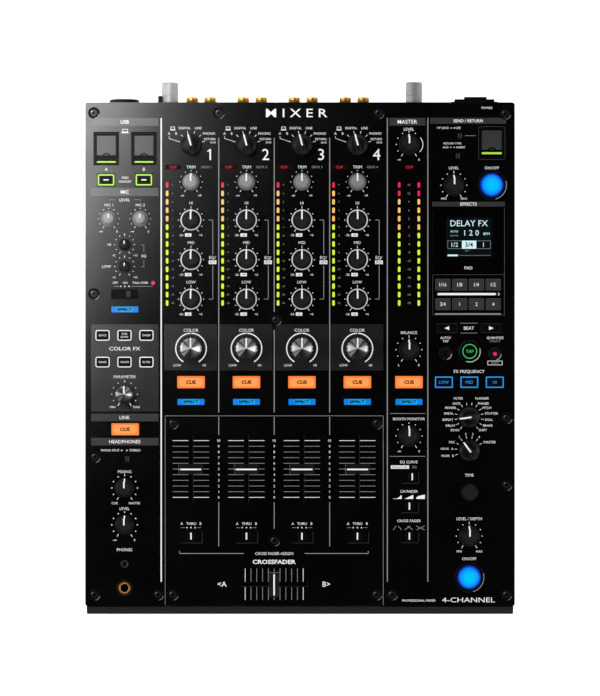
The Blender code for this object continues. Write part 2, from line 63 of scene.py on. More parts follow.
PANEL_HIGH = corners("top_panel")[1]
TOP = PANEL_HIGH.z
PRINT = TOP + LIFT  # where legends lie on the panel
SUNK_PRINT = TOP - 0.09  # on the fader panel, which is a little lower
FILM_PRINT = TOP + 0.17  # on the film of the effect zones
KEY_FOOT = TOP - 6.8
CHANNELS = [middle(f"trim_knob_{number}").x for number in (1, 2, 3, 4)]
BETWEEN = [x + (CHANNELS[1] - CHANNELS[0]) / 2 for x in CHANNELS[:3]]  # the rules between the strips
MASTER_X = middle("master_level_knob").x
LEFT_X = middle("parameter_knob").x
RIGHT_X = middle("fx_selector").x
TRIM_Y = middle("trim_knob_1").y
SELECTOR_Y = middle("input_selector_1").y
EQ_Y = {"HI": middle("eq_high_1").y, "MID": middle("eq_mid_1").y, "LOW": middle("eq_low_1").y}
COLOR_Y = middle("color_knob_1").y
CUE_Y = middle("cue_keys").y
FADER_Y = middle("channel_fader_1").y
CROSS_X, CROSS_Y = middle("crossfader").x, middle("crossfader").y
REAR = corners("rear_panel")[0].y + 1.6  # its outer face

# Places of the fixed controls
ASSIGN_Y = -146.0
LAMP_Y = -41.8
METER_TOP, METER_PITCH, METER_LAMPS = 126.4, 6.535, 15
MASTER_METERS = (76.9, 92.1)
MEMORY_BAYS = [(-150.2, 154.6, 19.0, 25.2), (-121.0, 154.6, 19.0, 25.2), (148.7, 158.9, 19.8, 24.9)]
STOP_KEYS = [(-150.3, 130.3), (-121.0, 130.3)]
MIC_LEVELS = [(-148.2, 100.2), (-123.8, 100.2)]
MIC_TONES = [(LEFT_X, 80.2), (LEFT_X, 63.2)]
CURVE_ROWS = (-100.0, -122.8, -146.0)
LINK_KEY = (LEFT_X + 0.4, -63.0)
BEAT_KEYS_Y = 15.4
AUTO_KEY, QUANTIZE_KEY = (112.8, -4.2), (151.1, -4.6)
LEFT_STRIP = (-162.0, -109.7)
FRONT_END, REAR_END = -181.2, 178.4  # of the long rules
SCREWS = [
    (-159.7, 182.2), (-62.9, 182.1), (60.9, 181.9), (159.2, 181.5), (-159.7, 41.9), (-18.6, 21.8),
    (-158.9, -84.5), (160.2, -54.4), (160.2, -106.2), (-19.9, -149.5), (-159.3, -191.3), (-109.9, -191.3),
    (-98.6, -191.3), (59.4, -191.3), (71.4, -191.3), (160.1, -191.3), (-98.5, -58.6), (59.7, -58.6),
]
PHONO_PAIRS = (-77.2, -37.25, 2.5, 42.4)
PHONO_HALF = 7.05  # half the spacing of a pair
INLET_X = 137.0
MINI_JACK = (LEFT_X, -167.4)
PHONES_JACK = (LEFT_X, -186.0)


# Materials

def set_stops(ramp, stops):
    """Gives a colour ramp its stops, each a position and a colour."""
    while len(ramp.elements) < len(stops):
        ramp.elements.new(0.5)
    for element, (position, colour) in zip(ramp.elements, stops):
        element.position = position
        element.color = (*colour, 1)


def surface(
        name, colour, roughness, metallic=0.0, mottle=0.12, grain=(900.0, 0.02), scale=60.0, glow=None,
        **sockets):
    """A surface whose colour and roughness drift a little, over a fine grain.

    glow is a colour and a strength. sockets are further inputs of the shader, with _ for a space.
    """
    material = bpy.data.materials.new(name)
    material.use_nodes = True
    nodes, links = material.node_tree.nodes, material.node_tree.links
    shader = nodes["Principled BSDF"]
    shader.inputs["Metallic"].default_value = metallic
    for socket, value in sockets.items():
        shader.inputs[socket.replace("_", " ")].default_value = value
    place = nodes.new("ShaderNodeTexCoord")
    drift = nodes.new("ShaderNodeTexNoise")
    drift.inputs["Scale"].default_value = scale
    drift.inputs["Detail"].default_value = 5.0
    links.new(place.outputs["Object"], drift.inputs["Vector"])
    shade = nodes.new("ShaderNodeValToRGB")
    set_stops(shade.color_ramp, [
        (0.3, [part * (1 - mottle) for part in colour]),
        (0.7, [min(1.0, part * (1 + mottle)) for part in colour])])
    links.new(drift.outputs["Fac"], shade.inputs["Fac"])
    links.new(shade.outputs["Color"], shader.inputs["Base Color"])
    sheen = nodes.new("ShaderNodeMapRange")
    sheen.inputs["To Min"].default_value = max(0.02, roughness - 0.06)
    sheen.inputs["To Max"].default_value = min(1.0, roughness + 0.06)
    links.new(drift.outputs["Fac"], sheen.inputs["Value"])
    links.new(sheen.outputs["Result"], shader.inputs["Roughness"])
    if grain:
        fine = nodes.new("ShaderNodeTexNoise")
        fine.inputs["Scale"].default_value = grain[0]
        fine.inputs["Detail"].default_value = 3.0
        links.new(place.outputs["Object"], fine.inputs["Vector"])
        bump = nodes.new("ShaderNodeBump")
        bump.inputs["Strength"].default_value = 0.35
        bump.inputs["Distance"].default_value = grain[1] * MM
        links.new(fine.outputs["Fac"], bump.inputs["Height"])
        links.new(bump.outputs["Normal"], shader.inputs["Normal"])
    if glow:
        shader.inputs["Emission Color"].default_value = (*glow[0], 1)
        shader.inputs["Emission Strength"].default_value = glow[1]
    return material


def woven_film(name, colour, cell):
    """Printed film with a fine raised mesh of square cells."""
    material = surface(name, colour, 0.32, mottle=0.08, grain=None, Specular_IOR_Level=0.9)
    nodes, links = material.node_tree.nodes, material.node_tree.links
    shader = nodes["Principled BSDF"]
    place = nodes.new("ShaderNodeTexCoord")
    heights = []
    for direction in ("X", "Y"):
        wave = nodes.new("ShaderNodeTexWave")
        wave.bands_direction = direction
        wave.inputs["Scale"].default_value = 0.314 / (cell * MM)
        links.new(place.outputs["Object"], wave.inputs["Vector"])
        heights.append(wave.outputs["Fac"])
    cross = nodes.new("ShaderNodeMath")
    cross.operation = "MULTIPLY"
    links.new(heights[0], cross.inputs[0])
    links.new(heights[1], cross.inputs[1])
    bump = nodes.new("ShaderNodeBump")
    bump.inputs["Strength"].default_value = 0.5
    bump.inputs["Distance"].default_value = 0.04 * MM
    links.new(cross.outputs["Value"], bump.inputs["Height"])
    links.new(bump.outputs["Normal"], shader.inputs["Normal"])
    base = shader.inputs["Base Color"].links[0].from_socket
    darker = nodes.new("ShaderNodeMix")
    darker.data_type = "RGBA"
    darker.blend_type = "MULTIPLY"
    darker.inputs["Factor"].default_value = 0.45
    links.new(base, darker.inputs[6])
    links.new(cross.outputs["Value"], darker.inputs[7])
    links.new(darker.outputs[2], shader.inputs["Base Color"])
    return material


def lit_dome(name):
    """A translucent button lit from under its middle, cyan there and deep blue at the rim."""
    material = surface(name, (0.0, 0.03, 0.12), 0.4, grain=(400.0, 0.01), Specular_IOR_Level=0.12)
    nodes, links = material.node_tree.nodes, material.node_tree.links
    shader = nodes["Principled BSDF"]
    place = nodes.new("ShaderNodeTexCoord")
    flat = nodes.new("ShaderNodeVectorMath")
    flat.operation = "MULTIPLY"
    flat.inputs[1].default_value = (1 / (9.3 * MM), 1 / (9.3 * MM), 0)
    distance = nodes.new("ShaderNodeVectorMath")
    distance.operation = "LENGTH"
    fade = nodes.new("ShaderNodeValToRGB")
    set_stops(fade.color_ramp, [
        (0.0, (0.0, 0.56, 1.0)), (0.45, (0.0, 0.48, 1.0)), (0.72, (0.0, 0.25, 0.95)), (0.86, (0.0, 0.06, 0.6)),
        (1.0, (0.0, 0.005, 0.10))])
    links.new(place.outputs["Object"], flat.inputs[0])
    links.new(flat.outputs["Vector"], distance.inputs[0])
    links.new(distance.outputs["Value"], fade.inputs["Fac"])
    links.new(fade.outputs["Color"], shader.inputs["Emission Color"])
    shader.inputs["Emission Strength"].default_value = 1.0
    return material


def spun_metal(name, wedges, roughness):
    """Metal turned on a lathe, with painted highlights: wedges in its colour, each the share of a turn and a
    tone.
    """
    material = surface(name, (0.5, 0.5, 0.5), roughness, metallic=0.45, mottle=0.1, grain=None, scale=400.0)
    nodes, links = material.node_tree.nodes, material.node_tree.links
    shader = nodes["Principled BSDF"]
    place = nodes.new("ShaderNodeTexCoord")
    sweep = nodes.new("ShaderNodeTexGradient")
    sweep.gradient_type = "RADIAL"
    links.new(place.outputs["Object"], sweep.inputs["Vector"])
    tones = nodes.new("ShaderNodeValToRGB")
    set_stops(tones.color_ramp, [(position, (tone, tone, tone * 1.02)) for position, tone in wedges])
    links.new(sweep.outputs["Fac"], tones.inputs["Fac"])
    mixed = nodes.new("ShaderNodeMix")
    mixed.data_type = "RGBA"
    mixed.blend_type = "OVERLAY"
    mixed.inputs["Factor"].default_value = 0.2
    links.new(tones.outputs["Color"], mixed.inputs[6])
    links.new(shader.inputs["Base Color"].links[0].from_socket, mixed.inputs[7])
    links.new(mixed.outputs[2], shader.inputs["Base Color"])
    return material


def print_ink(name, tone, mottle, glow, roughness=0.6):
    """A neutral ink that glows a little, so that small print stays legible."""
    return surface(name, (tone, tone, tone), roughness, mottle=mottle, scale=200.0, glow=((1, 1, 1), glow))


PAINT = surface("panel_paint", (0.0012, 0.0012, 0.0013), 0.24, mottle=0.15, grain=(2600.0, 0.004), scale=25.0)
CASE = surface(
    "case_powder_coat", (0.004, 0.004, 0.0044), 0.5, mottle=0.2, grain=(1400.0, 0.04), scale=40.0,
    Specular_IOR_Level=0.07)
FILM = woven_film("zone_film", (0.021, 0.021, 0.0215), 0.9)
WHITE_INK = print_ink("white_ink", 0.5, 0.04, 0.55)
GREY_INK = print_ink("grey_ink", 0.14, 0.08, 0.18)
DIM_INK = print_ink("dim_ink", 0.04, 0.08, 0.02)
RULE_INK = print_ink("rule_ink", 0.16, 0.05, 0.14, roughness=0.5)
BAR_INK = surface(
    "bar_ink", (0.075, 0.075, 0.077), 0.32, metallic=0.35, mottle=0.08, grain=(900.0, 0.01), scale=90.0)
DARK_INK = surface("dark_ink", (0.012, 0.006, 0.004), 0.8, mottle=0.1, scale=200.0, Specular_IOR_Level=0.1)
BLACK_INK = surface("black_ink", (0.001, 0.002, 0.004), 0.8, mottle=0.1, scale=200.0, Specular_IOR_Level=0.05)
RUBBER = surface(
    "knob_rubber", (0.004, 0.004, 0.0044), 0.42, mottle=0.2, grain=(1600.0, 0.03), Specular_IOR_Level=0.22)
CAP_TOP = surface(
    "knob_top", (0.008, 0.008, 0.0084), 0.6, mottle=0.55, grain=(1800.0, 0.08), scale=900.0,
    Specular_IOR_Level=0.3)
GREY_CAP = surface("grey_cap", (0.30, 0.30, 0.305), 0.45, mottle=0.1, grain=(1200.0, 0.03))
GREY_SKIRT = surface("grey_skirt", (0.16, 0.16, 0.163), 0.4, mottle=0.1, grain=(1200.0, 0.03))
# The glow is painted light that brightens the silver; this material also draws painted highlight arcs on the
# button collars and key rims.
SILVER_AND_GLINT = surface(
    "silver_ring_and_glint", (0.62, 0.62, 0.63), 0.35, metallic=0.3, mottle=0.05, grain=(1500.0, 0.01),
    glow=((1, 1, 1), 0.18))
# These wedges of tone are painted highlights and reflections of the lamps, for both spun metals below.
CHROME = spun_metal("spun_chrome", [
    (0.0, 1.0), (0.04, 0.95), (0.07, 0.12), (0.12, 0.55), (0.15, 0.04), (0.25, 0.01), (0.34, 0.04),
    (0.43, 0.12), (0.45, 0.95), (0.53, 1.0), (0.57, 0.3), (0.64, 0.04), (0.68, 0.5), (0.78, 0.2),
    (0.83, 0.42), (0.88, 0.05), (0.94, 0.8), (1.0, 1.0)], 0.34)
SMOKED_CHROME = spun_metal("smoked_chrome", [
    (0.0, 0.7), (0.03, 0.3), (0.08, 0.03), (0.14, 0.3), (0.18, 0.02), (0.25, 0.01), (0.34, 0.03), (0.44, 0.1),
    (0.49, 0.9), (0.53, 0.3), (0.58, 0.05), (0.66, 0.4), (0.70, 0.05), (0.79, 0.3), (0.84, 0.03), (0.93, 0.1),
    (0.97, 0.6), (1.0, 0.7)], 0.34)
# This material also draws painted highlights: strips along the selector knobs' wings and arcs on the round
# keys' rims.
DARK_CHROME_AND_GLINT = surface(
    "dark_chrome_and_glint", (0.10, 0.10, 0.105), 0.22, metallic=0.7, mottle=0.08, grain=(1200.0, 0.01))
# The faint glow is painted light that brightens the steel; this material also draws the painted highlight arcs
# on the panel screws.
STEEL_AND_GLINT = surface(
    "zinc_steel_and_glint", (0.36, 0.36, 0.365), 0.4, metallic=0.25, mottle=0.1, grain=(700.0, 0.03),
    glow=((1, 1, 1), 0.02))
GOLD = surface("gold_plate", (0.80, 0.43, 0.07), 0.3, metallic=0.8, mottle=0.08, grain=(900.0, 0.01))
SCREW = surface("screw_black", (0.02, 0.02, 0.021), 0.35, metallic=0.5, mottle=0.1, grain=(1200.0, 0.01))
BLACK_PLASTIC = surface(
    "black_plastic", (0.003, 0.003, 0.0033), 0.4, mottle=0.2, grain=(1500.0, 0.02), Specular_IOR_Level=0.1)
GREY_PLASTIC = surface("shutter_plastic", (0.055, 0.055, 0.057), 0.4, mottle=0.12, grain=(1100.0, 0.02))
BOARD = surface("circuit_board", (0.02, 0.13, 0.06), 0.45, mottle=0.35, grain=(300.0, 0.05), scale=220.0)
GLASS = surface(
    "display_window", (0.0012, 0.0012, 0.0014), 0.16, mottle=0.1, grain=None, Coat_Weight=0.5,
    Coat_Roughness=0.08)
FOOT = surface("foot_rubber", (0.018, 0.018, 0.018), 0.85, mottle=0.25, grain=(800.0, 0.08))
ORANGE = surface(
    "key_orange", (0.30, 0.05, 0.006), 0.5, mottle=0.06, grain=(500.0, 0.01), glow=((1.0, 0.21, 0.03), 0.88))
ORANGE_CORE = surface(
    "key_orange_core", (0.3, 0.08, 0.015), 0.5, mottle=0.05, scale=30.0, glow=((1.0, 0.33, 0.09), 0.95))
BLUE_LAMP = surface("lamp_blue", (0.0, 0.04, 0.1), 0.4, mottle=0.1, glow=((0.0, 0.21, 0.78), 0.9))
BLUE_CORE = surface("lamp_blue_core", (0.0, 0.08, 0.15), 0.4, mottle=0.05, glow=((0.01, 0.42, 0.92), 0.98))
BLUE_LINE = surface("line_blue", (0.0, 0.04, 0.1), 0.4, mottle=0.1, glow=((0.02, 0.32, 0.85), 0.9))
WHITE_LINE = surface("line_white", (0.4, 0.4, 0.4), 0.5, mottle=0.04, glow=((1.0, 1.0, 1.0), 0.62))
LIME_LINE = surface("line_lime", (0.1, 0.2, 0.01), 0.4, mottle=0.08, glow=((0.42, 0.80, 0.06), 0.85))
GREEN_LINE = surface("line_green", (0.02, 0.15, 0.05), 0.4, mottle=0.08, glow=((0.04, 0.50, 0.10), 0.9))
RED_LAMP = surface("lamp_red", (0.2, 0.005, 0.02), 0.4, mottle=0.1, glow=((0.72, 0.015, 0.085), 0.9))
RED_DIM = surface(
    "lamp_red_dim", (0.005, 0.0004, 0.0006), 0.5, mottle=0.2, glow=((0.30, 0.0, 0.01), 0.03),
    Specular_IOR_Level=0.08)
RED_WORD = surface("red_word", (0.15, 0.005, 0.01), 0.5, mottle=0.05, glow=((0.62, 0.02, 0.05), 0.8))
AMBER_LAMP = surface("lamp_amber", (0.4, 0.25, 0.08), 0.4, mottle=0.08, glow=((0.95, 0.52, 0.12), 0.80))
LIME_LAMP = surface("lamp_lime", (0.25, 0.35, 0.01), 0.4, mottle=0.08, glow=((0.70, 0.80, 0.03), 0.86))
SCREEN = surface(
    "screen_glow", (0.0, 0.004, 0.005), 0.3, mottle=0.5, scale=45.0, glow=((0.0, 0.10, 0.12), 0.012))
SCREEN_INK = surface("screen_letters", (0.2, 0.3, 0.3), 0.5, mottle=0.05, glow=((0.66, 0.92, 0.95), 0.8))
PAD_FACE = surface("pad_face", (0.045, 0.045, 0.047), 0.45, mottle=0.15, grain=(1300.0, 0.02))
DOME = lit_dome("button_blue_dome")


# Shapes: each piece's faces are gathered in one bmesh, with a material for each shape

class Piece:
    def __init__(self, *materials):
        self.faces = bmesh.new()
        self.materials = materials
        self.letters = []

    def merge(self, shape, slot):
        for face in shape.faces:
            face.material_index = slot
        mesh = bpy.data.meshes.new("shape")
        shape.to_mesh(mesh)
        shape.free()
        self.faces.from_mesh(mesh)
        bpy.data.meshes.remove(mesh)

    def box(self, low, high, edge=0.2, slot=0, segments=2):
        """A box with every edge rounded."""
        shape = bmesh.new()
        size = [b - a for a, b in zip(low, high)]
        centre = [(a + b) / 2 for a, b in zip(low, high)]
        bmesh.ops.create_cube(
            shape, size=1.0, matrix=Matrix.Translation(centre) @ Matrix.Diagonal((*size, 1.0)))
        edge = min(edge, min(size) * 0.45)
        if edge > 0:
            bmesh.ops.bevel(
                shape, geom=shape.edges[:], offset=edge, segments=segments, profile=0.5, affect="EDGES")
        self.merge(shape, slot)

    def block(self, x, y, width, depth, bottom, top, **look):
        self.box((x - width / 2, y - depth / 2, bottom), (x + width / 2, y + depth / 2, top), **look)

    def plate(self, x, y, width, depth, bottom, top, corner, slot=0, inner=None):
        """A plate with round corners in plan, or a frame of that outline when inner is its band's width."""
        rings = [(width, depth, corner)]
        if inner:
            rings.append((width - 2 * inner, depth - 2 * inner, max(0.05, corner - inner)))
        shape = bmesh.new()
        loops = []
        for w, d, r in rings:
            points = []
            for turn in range(4):
                sx, sy = ((1, 1), (-1, 1), (-1, -1), (1, -1))[turn]
                for step in range(5):
                    angle = math.radians(90 * turn + 22.5 * step)
                    centre_x, centre_y = x + sx * (w / 2 - r), y + sy * (d / 2 - r)
                    points.append((centre_x + r * math.cos(angle), centre_y + r * math.sin(angle)))
            loops.append([[shape.verts.new((px, py, z)) for px, py in points] for z in (bottom, top)])
        count = len(loops[0][0])
        for index in range(count):
            after = (index + 1) % count
            low, high = loops[0]
            shape.faces.new((low[index], low[after], high[after], high[index]))
            if inner:
                inner_low, inner_high = loops[1]
                shape.faces.new((inner_low[after], inner_low[index], inner_high[index], inner_high[after]))
                shape.faces.new((high[index], high[after], inner_high[after], inner_high[index]))
                shape.faces.new((low[after], low[index], inner_low[index], inner_low[after]))
        if not inner:
            shape.faces.new(loops[0][1])
            shape.faces.new(loops[0][0][::-1])
        self.merge(shape, slot)

    def prism(self, outlines, slot=0):
        """A solid with closed ends that runs through outlines of the same number of points."""
        shape = bmesh.new()
        loops = [[shape.verts.new(point) for point in outline] for outline in outlines]
        for one, two in zip(loops, loops[1:]):
            for corner in range(len(one)):
                after = (corner + 1) % len(one)
                shape.faces.new((one[corner], one[after], two[after], two[corner]))
        shape.faces.new(loops[0])
        shape.faces.new(loops[-1][::-1])
        bmesh.ops.recalc_face_normals(shape, faces=shape.faces)
        self.merge(shape, slot)

    def turned(self, profile, x=0.0, y=0.0, z=0.0, slot=0, sides=48, flutes=0, along="Z"):
        """A lathe shape. Its profile's points are radius, height and, where it is fluted, the flutes' depth."""
        shape = bmesh.new()
        rings = []
        for radius, height, *flute in profile:
            depth = flute[0] if flute else 0.0
            if radius <= 0:
                rings.append([shape.verts.new((0, 0, height))])
                continue
            ring = []
            for step in range(sides):
                angle = 2 * math.pi * step / sides
                reach = radius - depth * (0.5 - 0.5 * math.cos(flutes * angle))
                ring.append(shape.verts.new((reach * math.sin(angle), reach * math.cos(angle), height)))
            rings.append(ring)
        for upper, lower in zip(rings, rings[1:]):
            for step in range(sides):
                after = (step + 1) % sides
                if len(upper) == 1:
                    shape.faces.new((upper[0], lower[after], lower[step]))
                elif len(lower) == 1:
                    shape.faces.new((upper[step], upper[after], lower[0]))
                else:
                    shape.faces.new((upper[step], upper[after], lower[after], lower[step]))
        if along == "Y":
            bmesh.ops.rotate(shape, verts=shape.verts, matrix=Matrix.Rotation(math.radians(-90), 3, "X"))
        elif along != "Z":
            lean = math.radians(90 if along == "X" else -90)
            bmesh.ops.rotate(shape, verts=shape.verts, matrix=Matrix.Rotation(lean, 3, "Y"))
        bmesh.ops.translate(shape, verts=shape.verts, vec=(x, y, z))
        bmesh.ops.recalc_face_normals(shape, faces=shape.faces)
        self.merge(shape, slot)

    def band(self, x, y, inner, outer, bottom, top, start=0.0, end=360.0, slot=0, along="Z"):
        """Part of a flat ring, with angles clockwise from the rear."""
        whole = end - start >= 360.0
        steps = max(3, int((end - start) / 6))
        shape = bmesh.new()
        stations = []
        for step in range(steps if whole else steps + 1):
            angle = math.radians(start + (end - start) * step / steps)
            sine, cosine = math.sin(angle), math.cos(angle)
            stations.append([
                shape.verts.new((radius * sine, radius * cosine, height))
                for radius, height in ((inner, bottom), (inner, top), (outer, top), (outer, bottom))])
        pairs = list(zip(stations, stations[1:] + stations[:1] if whole else stations[1:]))
        for one, two in pairs:
            for corner in range(4):
                after = (corner + 1) % 4
                shape.faces.new((one[corner], one[after], two[after], two[corner]))
        if not whole:
            shape.faces.new(stations[0])
            shape.faces.new(stations[-1][::-1])
        if along == "Y":
            bmesh.ops.rotate(shape, verts=shape.verts, matrix=Matrix.Rotation(math.radians(-90), 3, "X"))
        bmesh.ops.translate(shape, verts=shape.verts, vec=(x, y, 0) if along == "Z" else (x, 0, y))
        bmesh.ops.recalc_face_normals(shape, faces=shape.faces)
        self.merge(shape, slot)

    def line(self, x1, y1, x2, y2, width, bottom=None, height=INK, slot=0):
        """A printed line between two points."""
        bottom = PRINT if bottom is None else bottom
        shape = bmesh.new()
        length = math.hypot(x2 - x1, y2 - y1)
        turn = Matrix.Rotation(math.atan2(y2 - y1, x2 - x1), 4, "Z")
        centre = Matrix.Translation(((x1 + x2) / 2, (y1 + y2) / 2, bottom + height / 2))
        size = Matrix.Diagonal((length, width, height, 1))
        bmesh.ops.create_cube(shape, size=1.0, matrix=centre @ turn @ size)
        self.merge(shape, slot)

    def path(self, points, width, **look):
        """Printed lines from each point to the next."""
        for one, two in zip(points, points[1:]):
            self.line(*one, *two, width, **look)

    def patch(self, x, y, width, depth):
        """A printed rectangle."""
        self.block(x, y, width, depth, PRINT, PRINT + INK, edge=0)

    def frame(self, x, y, width, depth, corner, band):
        """A printed frame with round corners."""
        self.plate(x, y, width, depth, PRINT, PRINT + INK, corner, inner=band)

    def dot(self, x, y, radius, bottom=None, height=INK, slot=0, sides=12):
        bottom = PRINT if bottom is None else bottom
        shape = bmesh.new()
        bmesh.ops.create_cone(
            shape, cap_ends=True, segments=sides, radius1=radius, radius2=radius, depth=height,
            matrix=Matrix.Translation((x, y, bottom + height / 2)))
        self.merge(shape, slot)

    def words(self, text, x, y, capital, align=0.0, bottom=None, slot=0, weight=0.0, wide=1.0, rear=False):
        """Letters with capitals that high, centred on x, or starting (align 1) or ending (align -1) there."""
        bottom = PRINT if bottom is None else bottom
        curve = bpy.data.curves.new("letters", "FONT")
        curve.body = text
        curve.size = capital / CAPITAL
        curve.resolution_u = 2
        curve.extrude = INK / 2
        curve.offset = weight
        guide = bpy.data.objects.new("letters", curve)
        bpy.context.scene.collection.objects.link(guide)
        self.letters.append((guide, x, y, bottom, capital, align, slot, wide, rear))

    def set_letters(self):
        if not self.letters:
            return
        bpy.context.view_layer.update()
        graph = bpy.context.evaluated_depsgraph_get()
        for guide, x, y, bottom, capital, align, slot, wide, rear in self.letters:
            mesh = bpy.data.meshes.new_from_object(guide.evaluated_get(graph))
            shape = bmesh.new()
            shape.from_mesh(mesh)
            bpy.data.meshes.remove(mesh)
            bmesh.ops.remove_doubles(shape, verts=shape.verts, dist=0.001)
            xs = [vertex.co.x for vertex in shape.verts]
            anchor = {0.0: (min(xs) + max(xs)) / 2, 1.0: min(xs), -1.0: max(xs)}[align]
            flat = Matrix.Diagonal((wide, 1, 1, 1)) @ Matrix.Translation((-anchor, -capital / 2, INK / 2))
            if rear:
                upright = Matrix(((-1, 0, 0), (0, 0, 1), (0, 1, 0))).to_4x4()
                matrix = Matrix.Translation((x, bottom, y)) @ upright @ flat
            else:
                matrix = Matrix.Translation((x, y, bottom)) @ flat
            bmesh.ops.transform(shape, matrix=matrix, verts=shape.verts)
            self.merge(shape, slot)
            bpy.data.objects.remove(guide)
        self.letters = []

    def make_mesh(self, name):
        self.set_letters()
        mesh = bpy.data.meshes.new(name)
        bmesh.ops.scale(self.faces, vec=(MM, MM, MM), verts=self.faces.verts)
        self.faces.to_mesh(mesh)
        self.faces.free()
        for material in self.materials:
            mesh.materials.append(material)
        return mesh

    def finish(self, name, body="chassis", slot="panel_paint", at=(0, 0, 0), sharp=38.0, replaces=()):
        """Makes the object at that place in millimetres, riding on a body of the frame."""
        mesh = self.make_mesh(name)
        smooth_small_faces(mesh, sharp)
        return place_mesh(name, mesh, body, at, replaces)


def smooth_small_faces(mesh, sharp):
    """Smooth shading over edges flatter than that angle, with every large face kept flat."""
    mesh.shade_smooth()
    mesh.set_sharp_from_angle(angle=math.radians(sharp))
    for face in mesh.polygons:
        if face.area > FLAT_AREA * MM ** 2:
            face.use_smooth = False


def place_mesh(name, mesh, body, at=(0, 0, 0), replaces=()):
    thing = bpy.data.objects.new(name, mesh)
    bpy.context.scene.collection.objects.link(thing)
    thing.location = Vector(at) * MM
    bpy.context.view_layer.update()
    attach(thing, body)
    if replaces:
        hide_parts(*replaces)
    return thing


def capital_height():
    """How high the built-in font's capitals are at size 1."""
    curve = bpy.data.curves.new("capital", "FONT")
    curve.body = "H"
    guide = bpy.data.objects.new("capital", curve)
    bpy.context.scene.collection.objects.link(guide)
    bpy.context.view_layer.update()
    mesh = bpy.data.meshes.new_from_object(guide.evaluated_get(bpy.context.evaluated_depsgraph_get()))
    height = max(vertex.co.y for vertex in mesh.vertices)
    bpy.data.objects.remove(guide)
    bpy.data.meshes.remove(mesh)
    return height


CAPITAL = capital_height()


def around(x, y, radius, degrees):
    """The point at that radius, with the angle clockwise from the rear."""
    angle = math.radians(degrees)
    return x + radius * math.sin(angle), y + radius * math.cos(angle)


# Camera, lights and floor

def make_camera():
    data = bpy.data.cameras.new("camera")
    camera = bpy.data.objects.new("camera", data)
    bpy.context.scene.collection.objects.link(camera)
    distance = 3.5
    frame_height = 0.5396  # what the picture's 696 rows take in at the panel
    camera.location = (0, 0, TOP * MM + distance)
    data.sensor_width = 36.0
    data.lens = 36.0 * distance / frame_height
    data.clip_end = 20.0
    bpy.context.scene.camera = camera


def area_light(name, place, aim, size, power):
    data = bpy.data.lights.new(name, "AREA")
    data.shape = "RECTANGLE"
    data.size, data.size_y = size
    data.energy = power
    light = bpy.data.objects.new(name, data)
    bpy.context.scene.collection.objects.link(light)
    light.location = place
    light.rotation_euler = (Vector(aim) - Vector(place)).to_track_quat("-Z", "Y").to_euler()
    light.visible_camera = False
    return light


def make_studio():
    key = area_light("key_softbox", (-0.33, 0.295, 0.54), (-0.33, 0.295, 0), (0.45, 0.4), 1.05)
    key.rotation_euler = (0, 0, math.radians(68))
    key.data.spread = math.radians(70)
    area_light("left_strip", (-1.5, 0.1, 1.0), (0, 0, 0.05), (0.5, 1.8), 11.0)
    area_light("right_strip", (1.5, -0.1, 0.9), (0, 0, 0.05), (0.5, 1.8), 8.0)
    area_light("front_strip", (0.0, -1.6, 0.9), (0, 0, 0.05), (1.8, 0.5), 8.0)
    area_light("rear_strip", (0.0, 1.6, 1.1), (0, 0, 0.05), (1.8, 0.5), 8.0)
    world = bpy.data.worlds.new("studio")
    world.use_nodes = True
    nodes, links = world.node_tree.nodes, world.node_tree.links
    place = nodes.new("ShaderNodeTexCoord")
    parts = nodes.new("ShaderNodeSeparateXYZ")
    ramp = nodes.new("ShaderNodeValToRGB")
    set_stops(ramp.color_ramp, [(0.30, (0.95, 0.95, 0.96)), (0.62, (0.0, 0.0, 0.0))])
    links.new(place.outputs["Generated"], parts.inputs["Vector"])
    links.new(parts.outputs["Z"], ramp.inputs["Fac"])
    links.new(ramp.outputs["Color"], nodes["Background"].inputs["Color"])
    nodes["Background"].inputs["Strength"].default_value = 0.9
    bpy.context.scene.world = world
    floor = Piece(surface(
        "floor", (0.92, 0.92, 0.92), 0.9, mottle=0.01, grain=(40.0, 0.05), scale=3.0, glow=((1, 1, 1), 0.85)))
    floor.box((-2500, -2500, -12), (2500, 2500, -0.05), edge=1.0)
    ground = bpy.data.objects.new("floor", floor.make_mesh("floor"))
    bpy.context.scene.collection.objects.link(ground)
    bpy.context.scene.view_settings.view_transform = "Standard"


# Case

def softened(node, material, width):
    """A CAD node's own shape with its sharp edges broken by a small bevel."""
    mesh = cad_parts[node].data.copy()
    shape = bmesh.new()
    shape.from_mesh(mesh)
    bmesh.ops.remove_doubles(shape, verts=shape.verts, dist=0.002 * MM)
    bmesh.ops.dissolve_limit(shape, angle_limit=math.radians(1), verts=shape.verts, edges=shape.edges)
    limit = math.radians(50)
    sharp = [edge for edge in shape.edges if len(edge.link_faces) == 2 and edge.calc_face_angle(0) > limit]
    bmesh.ops.bevel(
        shape, geom=sharp, offset=width * MM, segments=2, profile=0.5, affect="EDGES", clamp_overlap=True)
    shape.to_mesh(mesh)
    shape.free()
    mesh.materials.clear()
    mesh.materials.append(material)
    smooth_small_faces(mesh, 18.0)
    return place_mesh(f"{node}_finished", mesh, "chassis", replaces=[node])


def dress_node(node, material):
    """Gives a hidden CAD node its material and leaves its shape as it is."""
    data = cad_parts[node].data
    data.materials.clear()
    data.materials.append(material)


